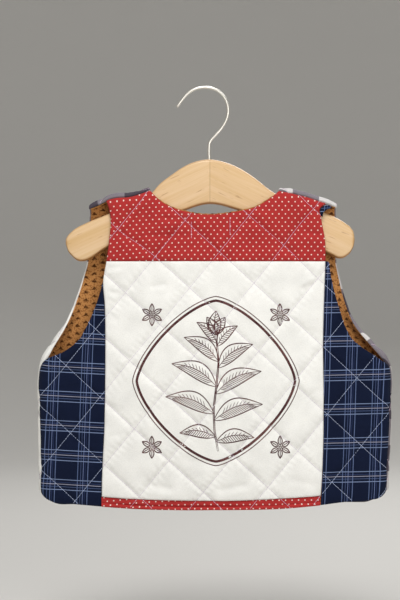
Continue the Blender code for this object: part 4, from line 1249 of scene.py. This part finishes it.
def leaf_print(tree, cloth, ground):
    """Small dark leaves in staggered columns, each a triangle across its cell, among faint scribbles."""
    wobble = add(tree, "TexNoise", {"Vector": cloth, "Scale": 0.45, "Detail": 2.0}).outputs[1]
    centred = add(tree, "VectorMath", {0: wobble, 1: (0.5, 0.5, 0.5)}, operation="SUBTRACT").outputs[0]
    shake = (LEAF_SHAKE, LEAF_SHAKE, 0.0)
    shaken = add(tree, "VectorMath", {0: centred, 1: shake, 2: cloth}, operation="MULTIPLY_ADD").outputs[0]
    marks = []
    for cell in staggered_cells(tree, shaken, (LEAF_ACROSS * 2, LEAF_DOWN / 2, 1.0)):
        x, y = add(tree, "SeparateXYZ", {"Vector": cell}).outputs[:2]
        wide = add(tree, "Math", {0: x}, operation="ABSOLUTE").outputs[0]
        slope = add(tree, "Math", {0: wide, 1: 1.1, 2: y}, operation="MULTIPLY_ADD").outputs[0]
        under = add(tree, "MapRange", {0: slope, 1: 2.3, 2: 1.2}).outputs[0]
        over = add(tree, "MapRange", {0: y, 1: -2.0, 2: -1.3}).outputs[0]
        marks.append(add(tree, "Math", {0: under, 1: over}, operation="MULTIPLY").outputs[0])
    leaf = add(tree, "Math", {0: marks[0], 1: marks[1]}, operation="MAXIMUM").outputs[0]
    ink = add(tree, "TexNoise", {"Vector": cloth, "Scale": 0.55, "Detail": 5.0}).outputs[0]
    scribble = add(tree, "MapRange", {0: ink, 1: 0.5, 2: 0.6, 3: 0.0, 4: 0.75}).outputs[0]
    worn = add(tree, "MapRange", {0: ink, 1: 0.3, 2: 0.5, 3: 0.55, 4: 1.0}).outputs[0]
    dark = add(tree, "Math", {0: worn, 1: leaf}, operation="MULTIPLY").outputs[0]
    faint = add(tree, "Mix", {0: scribble, 6: linear(ground), 7: linear("#84502A")}, data_type="RGBA")
    mixed = add(tree, "Mix", {0: dark, 6: faint.outputs[2], 7: linear(LEAF_BROWN)}, data_type="RGBA")
    return mixed.outputs[2]


def lining_piece(node, sheet, u, v, free_edges):
    """A plain lining inside the quilted wall, its gap closing smoothly to nothing at the sewn edges."""
    points, normal = sheet[..., :3], sheet[..., 3:]
    away = edge_distances(points)
    nearest = np.minimum.reduce([away[edge] for edge in free_edges])
    closing = np.clip(nearest / EDGE_PINCH, 0.0, 1.0)
    gap = LEAST_GAP + (LINING_GAP - LEAST_GAP) * closing * closing * (3 - 2 * closing)
    sag = 0.35 * wrinkles(1.7 * u, 1.5 * v) * closing
    outer = points - normal * (gap + np.maximum(sag, 0.0))[..., None]
    inner = outer - normal * LINING_WALL
    item = cloth_piece(node + "_cloth", inner, outer, u, v, tan_lining, "tan_lining", [node])


# Printed lining cotton: a warm tan with a scatter of dark brown leaves
tan_lining = cotton("tan_printed_cotton_lining", leaf_print, TAN)

for hand, side, column in (("left", -1, 1), ("right", 1, 2)):
    sheet, u, v = front_sheet(side, column, LINING_STEP, LINING_INSET)[:3]
    lining_piece("lining_front_" + hand, sheet, u, v, (*UPRIGHT_EDGES, "last_row"))

neck_left, neck_right = BACK_NECK[0][0], BACK_NECK[-1][0]
heights = np.linspace(YOKE_Z, LINING_HEM_Z, round((YOKE_Z - LINING_HEM_Z) / LINING_STEP))[::-1, None]
middle = np.linspace(neck_left, neck_right, 61)[None, :] - CENTRE_X + 0 * heights
sides = []
for side, column, neck_x in ((-1, 1, neck_left), (1, 2, neck_right)):
    radius, flat = fold_sizes(side, heights)
    turned = flat + radius * LINING_TURN
    armhole = np.abs(curve(BACK_ARMHOLES, heights, column) - CENTRE_X) - LINING_INSET
    edge = np.where(heights < UNDERARM_Z, turned, np.minimum(armhole, turned))
    inside_edge = np.minimum(flat, edge * 0.97)
    stretch = blend(abs(neck_x - CENTRE_X), inside_edge, np.linspace(0, 1, 26)[None, :])
    last_two = blend(stretch[:, -1:], edge, np.array([[0.5, 1.0]]))
    sides.append(side * np.concatenate([stretch, last_two], axis=1))
along = np.concatenate([sides[0][:, :0:-1], middle, sides[1][:, 1:]], axis=1)
hem_x = around(along[:1], heights[:1] + 0 * along[:1])[..., 0]
lift_up = np.clip(1 - (heights - LINING_HEM_Z) / LINING_HEM_EASE, 0.0, 1.0)
body_z = heights + (curve(BACK_HEM, hem_x, 2) + 0.4 - heights[0]) * lift_up
rows = shares(YOKE_DROP, LINING_STEP)[1:, None]
seam_x = along[-1:] + CENTRE_X
on_left = np.clip((neck_left - seam_x) / (neck_left - seam_x[0, 0]), 0.0, 1.0)
on_right = np.clip((seam_x - neck_right) / (seam_x[0, -1] - neck_right), 0.0, 1.0)
x = np.clip(seam_x, neck_left, neck_right)
x = x + (yoke_edge(rows, 1)[0] + LINING_INSET - neck_left) * on_left
x = x + (yoke_edge(rows, 2)[0] - LINING_INSET - neck_right) * on_right
at_neck = np.clip((x - neck_left - 2) / 8, 0, 1) * np.clip((neck_right - 2 - x) / 8, 0, 1)
scallop = NECK_LIFT + NECK_SCALLOP * np.sin(2 * math.pi * x / NECK_SCALLOP_LENGTH)
upper_z = blend(YOKE_Z, yoke_top(x) - 0.5 + (0.5 + scallop) * at_neck, rows)
sheet = np.concatenate([skin(around, along, body_z), skin(back_point, x, upper_z)])
u = np.concatenate([along + CENTRE_X, x])
v = np.concatenate([body_z, upper_z])
lining_piece("lining_back", sheet, u, v, (*UPRIGHT_EDGES, "last_row", "first_row"))

# Hanger: a child's wooden hanger of two beech arms, sawn from board and glued end to end at the middle.
# Its edges are sanded round, and clear lacquer seals it. The vest's shoulders rest on it.
HANGER_DEPTH = 10.4
HANGER_BEVEL = 3.4
HANGER_STEP = 2.4
END_STEP = 0.5           # closer together over the two rounded ends
END_LENGTH = 12.0
END_THIN = 0.35          # share of the depth that is left at the very end
END_BLUNT = 0.4
MOST_BEVEL = (0.42, 0.65)        # of the wood's height there, and of half its depth
HANGER = (  # x, top edge, bottom edge
    (-140.0, -151.5, -157.5),
    (-138.0, -148.5, -163.5),
    (-134.0, -144.3, -169.0),
    (-128.5, -140.2, -173.6),
    (-122.0, -137.0, -174.4),
    (-114.0, -133.3, -171.2),
    (-104.0, -129.4, -164.2),
    (-80.0, -118.6, -152.4),
    (-54.5, -106.4, -140.2),
    (-44.5, -95.6, -135.4),
    (-34.5, -88.0, -130.4),
    (-24.5, -81.0, -125.4),
    (-14.5, -75.6, -121.3),
    (-4.5, -72.5, -118.0),
    (5.5, -71.5, -116.5),
    (15.5, -73.0, -117.6),
    (25.5, -76.0, -120.3),
    (35.5, -80.5, -123.6),
    (45.5, -86.5, -128.2),
    (55.5, -94.0, -133.0),
    (65.5, -102.0, -137.8),
    (74.5, -107.6, -142.2),
    (100.0, -116.6, -154.4),
    (128.5, -128.5, -168.3),
    (136.0, -132.0, -171.6),
    (143.0, -136.4, -169.6),
    (148.5, -141.6, -163.6),
    (151.0, -147.0, -157.5),
    (151.5, -150.5, -154.5),
)
GLUE_X = 5.5
ARM_SLOPE = math.radians(25)      # of the grain of each arm, which runs straight
CORNER_TURNS = np.linspace(0.0, math.pi / 2, 6)


def tube_piece(name, rings, material, nodes, sharp, fields):
    """A closed body through rings of points, its two ends filled."""
    index = np.arange(rings[..., 0].size).reshape(rings.shape[:2])
    faces = ring_quads(index).tolist() + [index[0, ::-1].tolist(), index[-1].tolist()]
    mesh = finish_mesh(name, rings.reshape(-1, 3), faces, sharp, fields)
    add_piece(name, mesh, material, nodes)


def beech():
    """Steamed beech, sanded and sealed: pale pinkish straw, straight faint grain, short darker flecks.

    The grain is noise drawn out straight along each arm. The flecks are the peaks of a second, shorter
    noise. The rounded lower edge and the underside are painted a darker amber, as painted shade.
    """
    material, tree, shader = new_material("sealed_beech", {
        "Roughness": 0.42, "Coat Weight": 0.15, "Coat Roughness": 0.35})
    grain = add(tree, "Attribute", {}, attribute_name="grain").outputs["Vector"]
    section = add(tree, "Attribute", {}, attribute_name="section").outputs["Vector"]
    fine = add(tree, "Mapping", {"Vector": grain, "Scale": (0.012, 0.55, 0.3)}).outputs[0]
    broad = add(tree, "Mapping", {"Vector": grain, "Scale": (0.006, 0.09, 0.09)}).outputs[0]
    short = add(tree, "Mapping", {"Vector": grain, "Scale": (0.05, 0.42, 0.2)}).outputs[0]
    lines = add(tree, "TexNoise", {
        "Vector": fine, "Scale": 1.0, "Detail": 6.0, "Roughness": 0.65}).outputs[0]
    bands = add(tree, "TexNoise", {"Vector": broad, "Scale": 1.0, "Detail": 3.0}).outputs[0]
    flecks = add(tree, "TexNoise", {"Vector": short, "Scale": 1.0, "Detail": 2.0}).outputs[0]
    tone = add(tree, "Math", {0: lines, 1: 0.6, 2: bands}, operation="MULTIPLY_ADD").outputs[0]
    share = add(tree, "MapRange", {0: tone, 1: 0.6, 2: 1.05}).outputs[0]
    colour = add(tree, "Mix", {0: share, 6: linear("#D3AC75"), 7: linear("#E3C298")}, data_type="RGBA")
    from_joint, from_middle, thick = add(tree, "SeparateXYZ", {"Vector": section}).outputs
    spots = add(tree, "MapRange", {0: flecks, 1: 0.66, 2: 0.73, 3: 0.0, 4: 0.65}).outputs[0]
    joint = add(tree, "Math", {0: from_joint}, operation="ABSOLUTE").outputs[0]
    glue = add(tree, "MapRange", {0: joint, 1: 0.55, 2: 0.2, 3: 0.0, 4: 0.45}).outputs[0]
    # painted shade: the rounded lower edge and the underside, which turn away from the light, are tinted
    # darker amber
    thick = add(tree, "Math", {0: thick}, operation="ABSOLUTE").outputs[0]
    turned = add(tree, "MapRange", {0: thick, 1: 5.15, 2: 4.3}).outputs[0]
    lower = add(tree, "MapRange", {0: from_middle, 1: 3.0, 2: -6.0, 3: 0.2, 4: 0.9}).outputs[0]
    painted_underside_shade = add(tree, "Math", {0: turned, 1: lower}, operation="MULTIPLY").outputs[0]
    for cover, tint in ((spots, "#A67443"), (glue, "#A07444"), (painted_underside_shade, "#A66F36")):
        colour = add(tree, "Mix", {0: cover, 6: colour.outputs[2], 7: linear(tint)}, data_type="RGBA")
    tree.links.new(colour.outputs[2], shader.inputs["Base Color"])
    bump = add(tree, "Bump", {"Height": lines, "Strength": 0.12, "Distance": 0.0003})
    tree.links.new(bump.outputs[0], shader.inputs["Normal"])
    return material


start, finish = HANGER[0][0], HANGER[-1][0]
ends = np.arange(0.0, END_LENGTH, END_STEP)
between = np.linspace(start + END_LENGTH, finish - END_LENGTH,
                      round((finish - start - 2 * END_LENGTH) / HANGER_STEP))
stations = np.concatenate([start + ends, between, finish - ends[::-1]])[:, None]
top, bottom = curve(HANGER, stations, 1), curve(HANGER, stations, 2)
from_end = np.minimum(stations - start, finish - stations) + END_BLUNT
end_round = np.sqrt(1 - (1 - np.clip(from_end / HANGER_BEVEL, 0.0, 1.0)) ** 2)
half_depth = HANGER_DEPTH / 2 * (END_THIN + (1 - END_THIN) * end_round)
bevel_z = np.minimum(HANGER_BEVEL, (top - bottom) * MOST_BEVEL[0])
bevel_y = np.minimum(HANGER_BEVEL, half_depth * MOST_BEVEL[1])
corner_y, corner_z = np.sin(CORNER_TURNS)[None, :], np.cos(CORNER_TURNS)[None, :]
right_y = half_depth - bevel_y + bevel_y * corner_y
high_z = top - bevel_z + bevel_z * corner_z
low_z = bottom + bevel_z - bevel_z * corner_z
y = np.concatenate([right_y, right_y[:, ::-1], -right_y, -right_y[:, ::-1]], axis=1)
z = np.concatenate([high_z, low_z[:, ::-1], low_z, high_z[:, ::-1]], axis=1)
rings = np.stack([stations + 0 * y, y, z], axis=-1)
from_joint = rings[..., 0] - GLUE_X
section = np.stack([from_joint, rings[..., 2] - (top + bottom) / 2, rings[..., 1]], axis=-1)
along = np.abs(from_joint) * math.cos(ARM_SLOPE) - rings[..., 2] * math.sin(ARM_SLOPE)
across = np.abs(from_joint) * math.sin(ARM_SLOPE) + rings[..., 2] * math.cos(ARM_SLOPE)
grain = np.stack([along * np.sign(from_joint), across, rings[..., 1]], axis=-1)
tube_piece("hanger_arms", rings, beech(), ["hanger_wood"], 40,
           {"grain": grain.reshape(-1, 3), "section": section.reshape(-1, 3)})

# Hook: one bent steel wire, plated with nickel. Its straight shank is pushed into a blind hole in the
# top of the hanger, and its round bow holds up the whole garment.
WIRE = 3.0
HOOK = (  # x, z of the wire's middle, from the wood to the tip
    (5.0, -84.0),
    (4.8, -71.5),
    (4.5, -61.5),
    (5.6, -53.5),
    (10.5, -47.5),
    (15.5, -42.0),
    (20.0, -35.5),
    (23.0, -28.5),
    (23.9, -21.5),
    (22.6, -13.8),
    (19.2, -7.4),
    (14.0, -2.4),
    (7.6, 0.6),
    (0.8, 1.5),
    (-6.0, 0.9),
    (-12.8, -1.8),
    (-18.6, -6.4),
    (-23.6, -12.4),
    (-28.0, -18.6),
)


def drawn_steel():
    """Nickel-plated steel wire: bright, with fine lines from the die along its length."""
    material, tree, shader = new_material("nickel_plated_steel_wire", {
        "Roughness": 0.4, "Metallic": 1.0, "Base Color": linear("#EAE6DC")})
    wire = add(tree, "Attribute", {}, attribute_name="wire").outputs["Vector"]
    drawn = add(tree, "Mapping", {"Vector": wire, "Scale": (0.15, 3.0, 3.0)}).outputs[0]
    lines = add(tree, "TexNoise", {"Vector": drawn, "Scale": 1.0, "Detail": 4.0}).outputs[0]
    rough = add(tree, "MapRange", {0: lines, 1: 0.3, 2: 0.7, 3: 0.34, 4: 0.48}).outputs[0]
    tree.links.new(rough, shader.inputs["Roughness"])
    bump = add(tree, "Bump", {"Height": lines, "Strength": 0.04, "Distance": 0.0001})
    tree.links.new(bump.outputs[0], shader.inputs["Normal"])
    return material


route = np.array(HOOK)
walked = walked_along(route)
table = np.column_stack([walked, route])
stops = np.concatenate([np.linspace(0.0, walked[-1] - WIRE, 120),
                        walked[-1] - WIRE * (1 - np.sin(np.linspace(0.1, 1.5, 8)))])
line = np.stack([curve(table, stops, 1), 0 * stops, curve(table, stops, 2)], axis=-1)
run = unit(np.gradient(line, stops, axis=0))
aside = np.stack([-run[:, 2], 0 * stops, run[:, 0]], axis=-1)
tip = np.clip((walked[-1] - stops) / (WIRE / 2), 0.0, 1.0)
radius = WIRE / 2 * np.sqrt(np.maximum(1 - (1 - tip) ** 2, 0.01))
turns = np.linspace(0, 2 * math.pi, 17)[None, :-1]
cos, sin = np.cos(turns), np.sin(turns)
spokes = cos[..., None] * aside[:, None] + sin[..., None] * np.array([0.0, 1.0, 0.0])
rings = line[:, None] + radius[:, None, None] * spokes
wire = np.stack(np.broadcast_arrays(stops[:, None], cos, sin), axis=-1)
tube_piece("hanger_wire_hook", rings, drawn_steel(), ["hanger_hook"], 60,
           {"wire": wire.reshape(-1, 3)})
